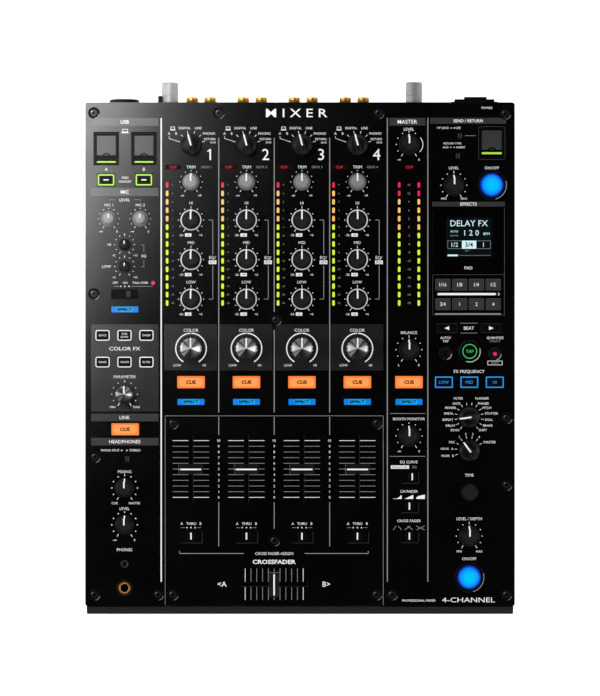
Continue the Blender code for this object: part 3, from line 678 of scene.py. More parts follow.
def make_case():
    softened("top_panel", PAINT, 0.25)
    softened("fader_panel", PAINT, 0.2)
    softened("bottom_tray", CASE, 0.5)
    softened("rear_panel", CASE, 0.25)
    dress_node("control_board", BLACK_PLASTIC)
    dress_node("main_board", BOARD)
    dress_node("power_supply", BLACK_PLASTIC)
    dress_node("rear_jack_board", BLACK_PLASTIC)
    for side in ("left", "right"):
        for row in ("front", "rear"):
            node = f"foot_{row}_{side}"
            centre = middle(node)
            foot = Piece(FOOT, STEEL_AND_GLINT)
            foot.turned([
                (0, 3.0), (3.4, 3.0), (3.6, 0.6), (4.2, 0.15), (9.8, 0.0), (11.2, 0.6), (12.0, 1.6),
                (11.6, 4.6), (10.5, 6.2), (0, 6.2)][::-1], sides=40)
            foot.turned([(0, 1.2), (2.6, 1.3), (3.1, 2.0), (3.1, 3.4), (0, 3.4)][::-1], slot=1, sides=20)
            foot.finish(node + "_rubber", slot="foot_rubber", at=(centre.x, centre.y, 0), replaces=[node])


def make_side_details():
    """Vents pressed in the case's sides, and its fixing screws."""
    vents = Piece(BLACK_PLASTIC)
    screws = Piece(SCREW, BLACK_PLASTIC)
    side = corners("bottom_tray")[1].x
    for sign in (-1, 1):
        for row in (30.0, 36.0, 42.0):
            for step in range(14):
                y = 60.0 + step * 7.5
                low_x, high_x = sorted((sign * (side - 0.2), sign * (side + 0.06)))
                vents.box((low_x, y, row), (high_x, y + 5.0, row + 1.8), edge=0.1)
        for y in (-160.0, 0.0, 160.0):
            screws.turned([(0, 1.3), (1.4, 1.2), (2.5, 0.7), (3.0, 0.05), (0, 0.05)],
                          x=sign * side, y=y, z=74.0, sides=28, along="X" if sign > 0 else "-X")
            low_x, high_x = sorted((sign * (side + 0.9), sign * (side + 1.34)))
            screws.box((low_x, y - 1.4, 73.7), (high_x, y + 1.4, 74.3), edge=0.05, slot=1)
            screws.box((low_x, y - 0.3, 72.6), (high_x, y + 0.3, 75.4), edge=0.05, slot=1)
    vents.finish("side_vents", slot="case_paint")
    screws.finish("side_screws", slot="supply_steel")


def make_panel_screws():
    """Cross-head screws in recesses: a black dish painted as the shade of the recess, a dark head, and painted
    highlights on the edges.
    """
    screws = Piece(BLACK_PLASTIC, SCREW, STEEL_AND_GLINT)
    for x, y in SCREWS:
        # The black dish is painted shade, standing for the recess the head sits in.
        screws.turned([
            (0, 0.10), (2.3, 0.12), (2.9, 0.03), (3.5, 0.05), (4.2, 0.38), (4.45, 0.36), (4.6, 0.02),
            (0, 0.01)], x=x, y=y, z=TOP, sides=32)
        screws.turned([(1.2, 0.16), (2.2, 0.30), (2.6, 0.16), (1.2, 0.12), (1.2, 0.16)],
                      x=x, y=y, z=TOP, sides=28, slot=1)
        # Painted highlights: a bright arc on the front right of the rim, a small one at the rear left of the
        # head.
        screws.band(x, y, 4.0, 4.4, TOP + 0.25, TOP + 0.42, start=105, end=170, slot=2)
        screws.band(x, y, 2.0, 2.5, TOP + 0.2, TOP + 0.36, start=285, end=335, slot=2)
        for angle in (45, 135):
            x1, y1 = around(x, y, 1.5, angle)
            x2, y2 = around(x, y, -1.5, angle)
            screws.line(x1, y1, x2, y2, 0.5, bottom=TOP + 0.1, height=0.08, slot=0)
    screws.finish("panel_screws")


# Knobs: each style is one mesh, in millimetres above the panel, with its pointer to the rear

def skirt_knob(skirt_material, cap_material, top_material, skirt, cap, crown, height, ringed):
    """A grip cap on a wide skirt: a white line crosses the cap and runs down to the skirt's edge."""
    knob = Piece(skirt_material, cap_material, top_material, WHITE_INK, SILVER_AND_GLINT)
    knob.turned([
        (0, 2.6), (skirt - 1.5, 2.7), (skirt - 0.5, 2.45), (skirt - 0.1, 2.0), (skirt, 1.4), (skirt, 0.9),
        (skirt - 0.3, 0.7), (0, 0.7)], sides=64)
    if ringed:
        knob.turned([
            (skirt - 0.95, 2.72), (skirt - 0.8, 2.95), (skirt - 0.2, 2.72), (skirt + 0.05, 2.2),
            (skirt - 0.1, 1.8), (skirt - 0.95, 2.0), (skirt - 0.95, 2.72)], slot=4, sides=64)
    knob.turned([
        (0, height - 0.35), (crown - 1.1, height - 0.3), (crown - 0.7, height), (crown - 0.25, height - 0.1),
        (crown, height - 0.6, 0.12), (crown + 0.15, height - 2.0, 0.28), (cap - 0.1, 5.0, 0.30),
        (cap, 3.2, 0.1), (cap + 0.5, 2.6), (0, 2.6)], slot=1, sides=96, flutes=24)
    knob.turned([
        (0, height - 0.28), (crown - 1.15, height - 0.22), (crown - 1.1, height - 0.5), (0, height - 0.5)],
        slot=2, sides=48)
    knob.box((-0.58, 0.2, height - 0.5), (0.58, crown + 0.05, height + 0.05), edge=0.12, slot=3)
    knob.box((-0.5, crown - 0.5, 3.0), (0.5, cap + 0.12, height - 0.2), edge=0.1, slot=3)
    knob.box((-0.5, cap - 0.6, 2.3), (0.5, skirt - 0.1, 3.0), edge=0.1, slot=3)
    return knob


def metal_knob(metal, outer, crown, height):
    """A deeply fluted metal knob with a coned top and a white line let into it."""
    knob = Piece(metal, RUBBER, WHITE_INK)
    knob.turned([
        (0, height - 1.3), (1.2, height - 1.25), (crown - 1.9, height - 0.3), (crown - 1.2, height),
        (crown - 0.5, height - 0.15), (crown, height - 0.9, 0.7), (crown + 0.3, height - 2.5, 1.0),
        (outer - 0.5, 4.2, 1.1), (outer - 0.5, 3.4, 0.6), (outer - 1.2, 3.0), (0, 3.0)], sides=144, flutes=18)
    knob.turned([
        (0, 3.0), (outer - 0.9, 3.0), (outer - 0.1, 2.6), (outer, 1.6), (outer - 0.3, 0.7), (0, 0.7)],
        slot=1, sides=64)
    knob.box((-0.55, 0.4, height - 1.4), (0.55, crown - 0.2, height + 0.1), edge=0.12, slot=2)
    return knob


def selector_knob(height=16.0):
    """A domed disc with a finger wing across it and a white line along the wing."""
    knob = Piece(RUBBER, WHITE_INK, DARK_CHROME_AND_GLINT)
    knob.turned([
        (0, 4.6), (4.0, 4.5), (6.4, 4.0), (7.6, 3.1), (8.1, 2.0), (8.15, 1.0), (7.9, 0.7), (0, 0.7)], sides=64)
    stations = []
    for step in range(13):
        along = -7.7 + 15.4 * step / 12
        taper = 1 - 0.30 * max(0.0, along / 7.7)
        rise = height - 0.9 * (along / 7.7) ** 2 - (1.6 if along < 0 else 0.0) * (along / 7.7) ** 2
        section = [(-2.4, 3.0), (-2.1, 8.0), (-1.75, rise - 0.6), (-1.2, rise), (1.2, rise), (1.75, rise - 0.6),
                   (2.1, 8.0), (2.4, 3.0)]
        stations.append([(x * taper, along, z) for x, z in section])
    knob.prism(stations)
    knob.box((-0.6, -1.2, height - 0.6), (0.6, 7.2, height + 0.08), edge=0.15, slot=1)
    knob.box((-0.5, 7.2, 4.6), (0.5, 7.85, height - 0.3), edge=0.15, slot=1)
    # Painted highlights: dark chrome strips along both edges of the wing.
    for side in (-1, 1):
        edge_x = side * 1.35
        knob.box((edge_x - 0.12, -6.0, height - 1.3), (edge_x + 0.12, 6.2, height - 0.25), edge=0.08, slot=2)
    return knob


def encoder_knob(radius, height):
    knob = Piece(RUBBER, CAP_TOP)
    knob.turned([
        (0, height - 0.5), (radius - 1.9, height - 0.4), (radius - 1.4, height), (radius - 0.7, height - 0.1),
        (radius - 0.45, height - 0.8, 0.2), (radius, 2.6, 0.35), (radius, 1.2), (radius - 0.4, 0.7), (0, 0.7)],
        sides=144, flutes=36)
    knob.turned([
        (0, height - 0.42), (radius - 2.1, height - 0.3), (radius - 2.1, height - 0.6), (0, height - 0.6)],
        slot=1, sides=40)
    return knob


def small_knob(skirt_material, cap_material, skirt, cap, height):
    knob = Piece(skirt_material, cap_material, WHITE_INK)
    knob.turned([
        (0, 2.4), (cap + 0.2, 2.4), (skirt - 0.5, 2.0), (skirt, 1.4), (skirt, 0.9), (skirt - 0.2, 0.6),
        (0, 0.6)], sides=48)
    knob.turned([
        (0, height - 0.1), (cap - 0.9, height), (cap - 0.4, height - 0.2), (cap, height - 1.0, 0.25),
        (cap + 0.2, 3.0, 0.3), (cap + 0.4, 2.4), (0, 2.4)], slot=1, sides=72, flutes=18)
    knob.box((-0.4, 0.3, height - 0.4), (0.4, cap - 0.1, height + 0.12), edge=0.1, slot=2)
    return knob


def make_knobs():
    styles = {
        "eq": skirt_knob(RUBBER, RUBBER, CAP_TOP, 8.1, 5.7, 5.4, 16.0, True),
        "plain": skirt_knob(RUBBER, RUBBER, CAP_TOP, 8.0, 5.8, 5.5, 16.0, False),
        "headphone": skirt_knob(RUBBER, RUBBER, CAP_TOP, 7.35, 5.4, 5.1, 15.0, False),
        "trim": skirt_knob(GREY_SKIRT, GREY_CAP, GREY_CAP, 6.75, 5.0, 4.7, 13.5, False),
        "color": metal_knob(CHROME, 9.1, 8.2, 17.7),
        "parameter": metal_knob(SMOKED_CHROME, 7.25, 6.6, 15.0),
        "selector": selector_knob(),
        "encoder": encoder_knob(7.0, 14.0),
    }
    slots = {"trim": "knob_grey", "color": "knob_chrome", "parameter": "knob_chrome"}
    turned = {f"input_selector_{n}": ("selector", 15) for n in (1, 2, 3, 4)}
    turned.update({"fx_selector": ("selector", 98), "fx_channel_selector": ("selector", 36)})
    turned.update({f"trim_knob_{n}": ("trim", 0) for n in (1, 2, 3, 4)})
    turned.update({f"eq_{band}_{n}": ("eq", 0) for band in ("high", "mid", "low") for n in (1, 2, 3, 4)})
    turned.update({f"color_knob_{n}": ("color", 0) for n in (1, 2, 3, 4)})
    turned.update({f"{name}_knob": ("plain", 0) for name in (
        "master_level", "balance", "booth_level", "send_level", "fx_depth")})
    turned.update({f"headphone_{name}_knob": ("headphone", 0) for name in ("mix", "level")})
    turned.update({"parameter_knob": ("parameter", 0), "time_encoder": ("encoder", 0)})
    meshes = {}
    for node, (style, turn) in turned.items():
        centre = middle(node)
        if style not in meshes:
            first = styles[style].finish(
                f"{node}_cap", node, slots.get(style, "soft_black"), (centre.x, centre.y, TOP), sharp=32.0)
            meshes[style] = first.data
        else:
            first = place_mesh(
                f"{node}_cap", meshes[style], node, (centre.x, centre.y, TOP))
        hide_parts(node)
        if turn:
            turn_in_place(first, turn)
    for number, (x, y) in enumerate(MIC_LEVELS, start=1):
        small_knob(GREY_SKIRT, GREY_CAP, 6.3, 3.9, 11.0).finish(
            f"mic_level_{number}", slot="knob_grey", at=(x, y, TOP), sharp=32.0)
    for name, (x, y) in zip(("high", "low"), MIC_TONES):
        small_knob(RUBBER, CAP_TOP, 4.5, 3.1, 10.0).finish(
            f"mic_tone_{name}", slot="soft_black", at=(x, y, TOP), sharp=32.0)


def turn_in_place(thing, degrees):
    """Turns a piece anticlockwise, seen from above, about its own upright axis."""
    thing.rotation_euler = (0, 0, math.radians(degrees))


# Faders, keys and buttons

def fader_cap():
    """A cap with ribbed, hollowed flanks and a white line along its ridge, lying along X."""
    cap = Piece(RUBBER, WHITE_INK, STEEL_AND_GLINT, CAP_TOP)
    outline = [(-3.9, 2.3), (3.9, 2.3), (3.95, 4.6)]
    steps = 6
    for step in range(steps):
        share = step / (steps - 1)
        outline.append((3.5 - 2.1 * share ** 0.7, 5.2 + 6.0 * share))
        outline.append((3.2 - 2.0 * share ** 0.7, 5.7 + 6.0 * share))
    outline += [(-y, z) for y, z in reversed(outline[3:])]
    outline.append((-3.95, 4.6))
    cap.prism([[(x, y, z) for y, z in outline] for x in (-9.3, 9.3)])
    # Painted highlight: a white slab on the cap's -X end.
    cap.prism([[(x, y * 0.8, z - 0.15) for y, z in outline[2:]] for x in (-9.45, -9.1)], slot=1)
    for side in (-1, 1):
        cap.box((side * 9.2 - 0.3, -2.6, 4.4), (side * 9.2 + 0.3, 2.6, 11.4), edge=0.25, slot=3)
    cap.box((-8.2, -0.6, 11.3), (8.2, 0.6, 11.95), edge=0.2, slot=1)
    cap.box((-0.8, -2.0, -7.6), (0.8, 2.0, 2.6), edge=0.1, slot=2)
    return cap


def make_faders():
    mesh = None
    for node in [f"channel_fader_{number}" for number in (1, 2, 3, 4)] + ["crossfader"]:
        centre = middle(node)
        at = (centre.x, centre.y, TOP)
        if mesh is None:
            cap = fader_cap().finish(f"{node}_cap", node, "soft_black", at, sharp=25.0)
            mesh = cap.data
        else:
            cap = place_mesh(f"{node}_cap", mesh, node, at)
        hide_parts(node)
        if node == "crossfader":
            turn_in_place(cap, -90)


def make_fader_slots():
    """The dark guide under each slot, with a fine painted highlight along an edge of the slot."""
    guides = Piece(BLACK_PLASTIC, DARK_CHROME_AND_GLINT, DIM_INK)
    under = TOP - 1.9
    for x in CHANNELS:
        # Painted highlight: a fine line along the slot's +X edge.
        guides.line(x + 1.68, FADER_Y - 26.0, x + 1.68, FADER_Y + 26.0, 0.12, height=0.04, slot=2)
        guides.block(x, FADER_Y, 3.2, 51.4, under - 2.0, under - 0.4, edge=0.2)
    # Painted highlights along the crossfader slot's front edge and +X end.
    guides.line(CROSS_X - 26.0, CROSS_Y - 1.68, CROSS_X + 26.0, CROSS_Y - 1.68, 0.12, height=0.04, slot=2)
    guides.line(CROSS_X + 26.0, CROSS_Y - 1.68, CROSS_X + 26.0, CROSS_Y + 1.4, 0.12, height=0.04, slot=2)
    guides.block(CROSS_X, CROSS_Y, 51.4, 3.2, under - 2.0, under - 0.4, edge=0.2)
    guides.finish("fader_guides", slot="soft_black")


def cue_key(keys, x, y):
    """An orange key, brighter over the lamp under its middle, with a dark word on it."""
    keys.block(x, y, 21.2, 9.4, KEY_FOOT, TOP + 1.9, edge=0.6, segments=3)
    keys.plate(x, y, 18.4, 6.8, TOP + 1.7, TOP + 1.94, 2.4, slot=3)
    keys.words("CUE", x, y, 2.6, bottom=TOP + 1.95, slot=1, weight=0.16, wide=1.05)


def finish_keys(keys, node, slot, plate=0, inset=1.0):
    """Adds the moulded plate that joins a group's keys, and makes the piece."""
    low, high = corners(node)
    keys.box((low.x, low.y + inset, low.z), (high.x, high.y - inset, low.z + 1.4), edge=0.3, slot=plate)
    keys.finish(node.removesuffix("s") + "_caps", node, slot, replaces=[node])


def make_cue_keys():
    keys = Piece(ORANGE, DARK_INK, BLACK_PLASTIC, ORANGE_CORE)
    for x in (*CHANNELS, MASTER_X):
        cue_key(keys, x, CUE_Y)
    finish_keys(keys, "cue_keys", "key_orange", plate=2, inset=2.0)
    link = Piece(ORANGE, DARK_INK, BLACK_PLASTIC, ORANGE_CORE)
    cue_key(link, *LINK_KEY)
    link.finish("link_cue_key", slot="key_orange")


def lit_key(keys, x, y, width, depth, words, corner, capital=1.5, line=0.75, top=2.0):
    """A black key whose border and letters light up: slots are the key, the border and the letters."""
    keys.plate(x, y, width, depth, KEY_FOOT, TOP + top - 0.15, corner)
    keys.plate(x, y, width - 0.2, depth - 0.2, TOP + top - 0.3, TOP + top, corner, slot=1, inner=line)
    rows = words.split("/") if words else []
    for index, row in enumerate(rows):
        offset = (len(rows) - 1) * 1.2 - index * 2.4
        keys.words(row, x, y + offset, capital, bottom=TOP + top - 0.14, slot=2)


def make_effect_keys():
    keys = Piece(BLACK_PLASTIC, WHITE_LINE, WHITE_LINE)
    names = (("SPACE", "DUB/ECHO", "SWEEP"), ("NOISE", "CRUSH", "FILTER"))
    for names_row, y in zip(names, (9.8, -10.9)):
        for name, offset in zip(names_row, (-17.0, 0.0, 17.0)):
            lit_key(keys, LEFT_X + offset, y, 11.2, 8.5, name, 1.6, capital=1.45)
    finish_keys(keys, "color_fx_keys", "key_black")
    keys = Piece(BLACK_PLASTIC, BLUE_LINE, BLUE_LINE)
    for name, offset in zip(("LOW", "MID", "HI"), (-19.7, 0.0, 19.7)):
        lit_key(keys, RIGHT_X + offset, CUE_Y, 14.1, 9.0, name, 0.5, capital=2.3, line=0.9)
    finish_keys(keys, "fx_frequency_keys", "key_black")
    stops = Piece(BLACK_PLASTIC, LIME_LINE, WHITE_LINE)
    for x, y in STOP_KEYS:
        lit_key(stops, x, y, 13.0, 9.0, "", 1.2, line=1.1, top=1.4)
        stops.line(x - 2.0, y, x + 2.0, y, 0.9, bottom=TOP + 1.3, height=0.1, slot=2)
    stops.finish("memory_stop_keys", slot="key_green")


def make_round_buttons():
    for node in ("fx_on_button", "send_on_button"):
        centre = middle(node)
        button = Piece(DOME)
        button.turned([
            (0, 3.5), (2.5, 3.42), (4.8, 3.15), (6.6, 2.65), (8.0, 1.9), (8.9, 0.9), (9.25, 0.0), (9.3, -7.8),
            (0, -8.0)], sides=72)
        button.finish(f"{node}_dome", node, "key_blue", (centre.x, centre.y, TOP), replaces=[node], sharp=60.0)
        collar = Piece(BLACK_PLASTIC, SILVER_AND_GLINT)
        collar.turned([
            (9.5, 0.0), (9.55, 1.1), (10.1, 1.5), (11.3, 1.25), (11.9, 0.5), (12.0, 0.02), (9.5, 0.0)],
            sides=72)
        # Painted highlight: a silver arc on the right of the collar.
        collar.band(0, 0, 11.2, 11.5, 1.0, 1.3, start=75, end=165, slot=1)
        collar.finish(f"{node}_collar", slot="soft_black", at=(centre.x, centre.y, TOP))
    centre = middle("tap_button")
    tap = Piece(BLACK_PLASTIC, GREEN_LINE)
    tap.turned([
        (0, 2.1), (4.6, 2.15), (5.9, 2.0), (6.2, 1.4), (6.3, -7.8), (0, -8.0)], sides=64)
    tap.band(0, 0, 5.05, 5.75, 2.0, 2.3, slot=1)
    tap.words("TAP", 0, 0, 2.3, bottom=2.16, slot=1, weight=0.03)
    tap.finish("tap_button_cap", "tap_button", "key_green", (centre.x, centre.y, TOP), replaces=["tap_button"])
    rims = Piece(DARK_CHROME_AND_GLINT, SILVER_AND_GLINT, BLACK_PLASTIC, RED_LAMP)
    rims.turned([
        (6.9, 0.0), (7.0, 1.0), (7.9, 1.5), (8.7, 1.2), (9.2, 0.02), (6.9, 0.0)],
        x=centre.x, y=centre.y, z=TOP, sides=64, slot=2)
    # Painted highlights: a bright arc at the front right of the rim and a faint one at the rear left.
    rims.band(centre.x, centre.y, 7.9, 8.5, TOP + 1.2, TOP + 1.55, start=75, end=200, slot=1)
    rims.band(centre.x, centre.y, 7.7, 8.2, TOP + 1.2, TOP + 1.55, start=275, end=330, slot=0)
    for (x, y), lamp in ((AUTO_KEY, 2), (QUANTIZE_KEY, 3)):
        rims.turned([(4.3, 0.0), (4.4, 0.9), (4.8, 1.1), (5.2, 0.8), (5.3, 0.02), (4.3, 0.0)],
                    x=x, y=y, z=TOP, sides=40, slot=2)
        rims.turned([(0, 1.6), (2.4, 1.45), (3.6, 1.0), (4.1, 0.3), (4.1, 0.0), (0, 0)],
                    x=x, y=y, z=TOP, sides=40, slot=2)
        rims.turned([(0, 1.85), (1.4, 1.7), (1.7, 1.3), (0, 1.2)], x=x, y=y, z=TOP, sides=24, slot=lamp)
        # Painted highlights on these rims too: a bright arc at the front right and a faint one at the rear
        # left.
        rims.band(x, y, 4.55, 5.0, TOP + 0.85, TOP + 1.12, start=95, end=165, slot=1)
        rims.band(x, y, 4.6, 4.95, TOP + 0.85, TOP + 1.1, start=275, end=320, slot=0)
    rims.finish("round_key_rims", slot="key_black")


def make_beat_keys():
    keys = Piece(BLACK_PLASTIC, WHITE_INK, DIM_INK)
    for x, side in ((113.9, -1), (148.2, 1)):
        keys.block(x, BEAT_KEYS_Y, 15.3, 6.5, TOP - 2, TOP + 0.9, edge=0.35)
        keys.plate(x, BEAT_KEYS_Y, 15.7, 7.1, TOP + 0.01, TOP + 0.14, 0.4, slot=2, inner=0.18)
        arrow = [(x + side * dx, BEAT_KEYS_Y + dy) for dx, dy in ((1.9, 0), (-1.7, 1.5), (-1.7, -1.5))]
        keys.prism([[(*point, z) for point in arrow] for z in (TOP + 0.85, TOP + 0.96)], slot=1)
    keys.finish("beat_keys", slot="key_black")


# Lamps and meters

def make_meters():
    """Every meter lamp is a rounded lens, set a little proud of the panel."""
    colours = {"red": Piece(RED_LAMP), "amber": Piece(AMBER_LAMP), "lime": Piece(LIME_LAMP)}
    columns = [(x - 18.5, 1) for x in CHANNELS] + [(x, 2) for x in MASTER_METERS]
    for x, reds in columns:
        for step in range(METER_LAMPS):
            y = METER_TOP - step * METER_PITCH
            colour = "red" if step < reds else "amber" if step < reds + 4 else "lime"
            colours[colour].plate(x, y, 2.0, 4.3, TOP - 0.2, TOP + 0.3, 0.9)
    for colour, lamps in colours.items():
        slot = "key_green" if colour == "lime" else "key_orange"
        lamps.finish(f"meter_lamps_{colour}", slot=slot, sharp=60.0)


def make_lamps():
    lamps = Piece(BLUE_LAMP, BLACK_INK, BLUE_CORE)
    places = [(x, LAMP_Y) for x in (*CHANNELS, MASTER_X)] + [(LEFT_X + 0.2, 29.9)]
    for x, y in places:
        lamps.plate(x, y, 20.8, 4.6, TOP - 0.2, TOP + 0.25, 0.3)
        lamps.plate(x, y, 13.0, 3.6, TOP - 0.2, TOP + 0.27, 1.6, slot=2)
        lamps.words("EFFECT", x, y, 2.1, bottom=TOP + 0.28, slot=1, weight=0.16, wide=1.15)
    lamps.finish("effect_lamps", slot="key_blue")
    clips = Piece(RED_DIM, RED_LAMP, RED_WORD)
    for x, y, width in [(x - 13.9, 140.3, 12.0) for x in CHANNELS] + [(MASTER_X + 0.3, 140.3, 8.5)]:
        clips.plate(x, y, width, 3.6, TOP + 0.01, TOP + 0.12, 0.4)
        clips.words("CLIP", x, y, 1.9, bottom=TOP + 0.13, slot=2, weight=0.03)
    clips.dot(-113.9, 50.4, 1.6, height=0.3, slot=1, sides=24)
    clips.finish("clip_lamps", slot="key_orange")


# Switches, bays and jacks

def make_switches():
    """Recessed slide and rocker switches: a moulded frame, a dark well and a white or ribbed lever."""
    frames = Piece(BLACK_PLASTIC, GREY_PLASTIC, WHITE_INK, DIM_INK)
    wide = [(x, ASSIGN_Y, 16.9, 9.9, 0.0) for x in CHANNELS]
    wide += [(MASTER_X + 0.3, y, 14.0, 9.5, shift) for y, shift in zip(CURVE_ROWS, (2.2, 0.0, 0.0))]
    for x, y, width, depth, shift in wide:
        frames.plate(x, y, width + 0.6, depth + 0.6, TOP - 0.8, TOP + 0.16, 0.8, inner=0.9)
        frames.block(x, y, width - 1.4, depth - 1.4, TOP - 1.6, TOP - 1.1, edge=0.1)
        frames.block(x + shift, y, 6.4, depth - 2.4, TOP - 1.4, TOP + 0.5, edge=0.4, segments=3)
        frames.block(x + shift, y + 0.2, 1.1, 5.4, TOP + 0.3, TOP + 0.75, edge=0.15, slot=2)
        # Painted highlights: faint lines along each frame's front and right edges.
        right, front = x + width / 2, y - depth / 2
        frames.line(x - width / 2 + 1, front - 0.25, right, front - 0.25, 0.2, bottom=TOP + 0.17, slot=3)
        frames.line(right + 0.2, front, right + 0.2, y + depth / 2 - 1.5, 0.2, bottom=TOP + 0.17, slot=3)
    slides = [(LEFT_X, 41.7, 20.0, 6.9, 3.1), (LEFT_X, -86.1, 13.0, 6.0, 2.0), (122.0, 164.4, 11.0, 5.6, 2.0),
              (120.5, 148.9, 11.0, 5.6, 2.0)]
    for x, y, width, depth, shift in slides:
        frames.plate(x, y, width + 0.8, depth + 0.8, TOP - 0.8, TOP + 0.12, 0.5, inner=0.8)
        frames.block(x, y, width - 0.8, depth - 0.8, TOP - 1.7, TOP - 1.2, edge=0.1)
        for step in (-1.2, 0.0, 1.2):
            frames.block(x + shift + step, y, 0.7, depth - 1.8, TOP - 1.3, TOP + 1.3, edge=0.12, slot=1)
        frames.block(x + shift, y, 3.6, depth - 1.6, TOP - 1.4, TOP + 0.7, edge=0.2)
    frames.finish("panel_switches", slot="soft_black")


def make_memory_bays():
    """A moulded well with a hinged shutter, its thumb notch, and a lit strip along the front."""
    for number, (x, y, width, depth) in enumerate(MEMORY_BAYS, start=1):
        dark = number == 3
        bay = Piece(BLACK_PLASTIC, GREY_PLASTIC, LIME_LINE, DIM_INK)
        bay.plate(x, y, width + 0.7, depth + 0.7, TOP - 1.4, TOP + 0.22, 1.8, inner=2.0)
        bay.block(x, y, width - 1, depth - 1, TOP - 2.8, TOP - 1.6, edge=0.1)
        shutter_low, shutter_high = y - depth / 2 + 7.2, y + depth / 2 - 2.4
        bay.box((x - width / 2 + 1.9, shutter_low, TOP - 1.7), (x + width / 2 - 1.9, shutter_high, TOP - 0.5),
                edge=0.35, slot=1, segments=3)
        bay.band(x, shutter_low - 1.6, 2.6, 3.6, TOP - 1.5, TOP - 0.35, start=-62, end=62, slot=0)
        bay.line(x - width / 2 + 1.8, shutter_low - 0.5, x + width / 2 - 1.8, shutter_low - 0.5, 0.5,
                 bottom=TOP - 1.3, height=0.9)
        strip_y = y - depth / 2 + (4.6 if dark else 2.1)
        bay.plate(x, strip_y, width - 4.2, 1.5, TOP - 1.2, TOP - 0.2, 0.7, slot=2)
        if dark:
            bay.plate(x, y, width + 0.9, depth + 0.9, TOP + 0.2, TOP + 0.26, 1.8, slot=3, inner=0.25)
        bay.finish(f"memory_bay_{number}", slot="soft_black")


def make_panel_jacks():
    jacks = Piece(BLACK_PLASTIC, GOLD, DARK_CHROME_AND_GLINT)
    x, y = PHONES_JACK
    jacks.turned([
        (3.3, 0.0), (3.3, 1.4), (3.7, 1.75), (4.4, 1.7), (4.7, 1.2), (4.8, 0.03), (3.3, 0.0)],
        x=x, y=y, z=TOP, slot=1, sides=56)
    jacks.turned([(4.85, 0.0), (4.85, 0.5), (6.0, 0.4), (6.4, 0.03), (4.85, 0.0)], x=x, y=y, z=TOP, sides=56)
    jacks.turned([
        (3.25, 1.0), (3.25, -24.0), (3.05, -24.0), (3.05, 1.0), (3.25, 1.0)], x=x, y=y, z=TOP, sides=32)
    x, y = MINI_JACK
    jacks.turned([
        (1.8, 0.0), (1.8, 1.0), (2.2, 1.2), (2.7, 1.15), (3.0, 0.8), (3.1, 0.03), (1.8, 0.0)],
        x=x, y=y, z=TOP, slot=2, sides=40)
    # Painted shade: a black disc fills the opening in place of the hole.
    jacks.dot(x, y, 1.78, height=0.1)
    jacks.finish("headphone_jacks", slot="gold_plate")


# Display and pad

def make_display():
    low, high = corners("fx_display_panel")
    split = low.y + 33.9
    mid_x = (low.x + high.x) / 2
    window = Piece(GLASS, SCREEN, SCREEN_INK, RULE_INK, WHITE_INK, PAD_FACE, GREY_INK, DIM_INK)
    window.box((low.x, low.y, low.z), (high.x, high.y, TOP), edge=0.4, segments=3)
    text_left, text_right = low.x + 11.9, low.x + 45.3
    screen_x = (text_left + text_right) / 2
    window.block(screen_x, split + 27.3, 35.5, 30.5, TOP + 0.01, TOP + 0.03, edge=0, slot=1)
    top_row = split + 38.0
    lit = {"bottom": TOP + 0.04, "slot": 2}
    dim = {"bottom": TOP + 0.04, "slot": 6}
    window.words("DELAY FX", screen_x, top_row, 4.6, wide=0.98, **lit)
    window.plate(text_left + 5.2, top_row - 6.3, 9.6, 3.0, TOP + 0.04, TOP + 0.09, 1.2, slot=1, inner=0.3)
    window.words("AUTO", text_left + 5.2, top_row - 6.3, 1.5, **lit)
    window.words("MASTER", text_left + 5.2, top_row - 9.6, 1.2, **dim)
    window.words("1 2 0", text_left + 18.6, top_row - 7.4, 4.2, **lit)
    window.words("BPM", text_right - 0.8, top_row - 8.2, 1.9, align=-1.0, **lit)
    cell = (text_right - text_left) / 3
    row = top_row - 16.6
    window.plate(screen_x, row, 3 * cell, 6.4, TOP + 0.04, TOP + 0.09, 0.3, slot=3, inner=0.3)
    for index, fraction in enumerate(("1/2", "3/4", "1")):
        x = text_left + cell * (index + 0.5)
        if index == 1:
            window.block(x, row, cell, 6.2, TOP + 0.04, TOP + 0.1, edge=0, slot=2)
            window.words(fraction, x, row, 3.4, bottom=TOP + 0.11, slot=0, weight=0.1)
        else:
            window.words(fraction, x, row, 3.3, **lit)
    window.words("BEAT", mid_x - 0.8, row - 4.6, 1.0, **dim)
    window.block(text_left + 4.0, row - 8.3, 8.0, 1.3, TOP + 0.04, TOP + 0.09, edge=0, slot=2)
    window.line(text_left + 9, row - 8.3, text_right, row - 8.3, 0.25, bottom=TOP + 0.04, slot=3)
    window.words("PAD", mid_x, split + 3.4, 2.3, slot=4)
    window.plate(
        mid_x, low.y + 16.4, high.x - low.x - 0.6, 31.6, TOP + 0.01, TOP + 0.1, 1.0, slot=7, inner=0.3)
    numbers = (("1/16", "1/8", "1/4", "1/2"), ("3/4", "1", "2", "4"))
    for labels, y in zip(numbers, (low.y + 24.3, low.y + 9.2)):
        for column, label in enumerate(labels):
            x = low.x + 8.3 + 13.0 * column
            window.plate(x, y, 11.6, 9.0, TOP + 0.01, TOP + 0.14, 0.5, slot=7, inner=0.6)
            window.plate(x, y, 9.9, 7.3, TOP + 0.01, TOP + 0.06, 0.3, slot=5)
            window.words(label, x, y, 2.8, bottom=TOP + 0.07, slot=4, wide=0.86)
    strip_y = low.y + 17.0
    window.plate(mid_x - 0.9, strip_y, 44.5, 1.7, TOP + 0.01, TOP + 0.12, 0.8, slot=4)
    for x, side in ((low.x + 4.0, -1), (low.x + 52.3, 1)):
        for rise in (1.1, -1.1):
            window.line(x, strip_y, x - side * 1.3, strip_y + rise, 0.45, slot=4)
    window.line(low.x + 2.2, low.y + 1.6, high.x - 3.0, low.y + 1.6, 1.1, slot=3)
    window.finish("fx_display_window", slot="display_glass", sharp=12.0, replaces=["fx_display_panel"])


# Printed legends

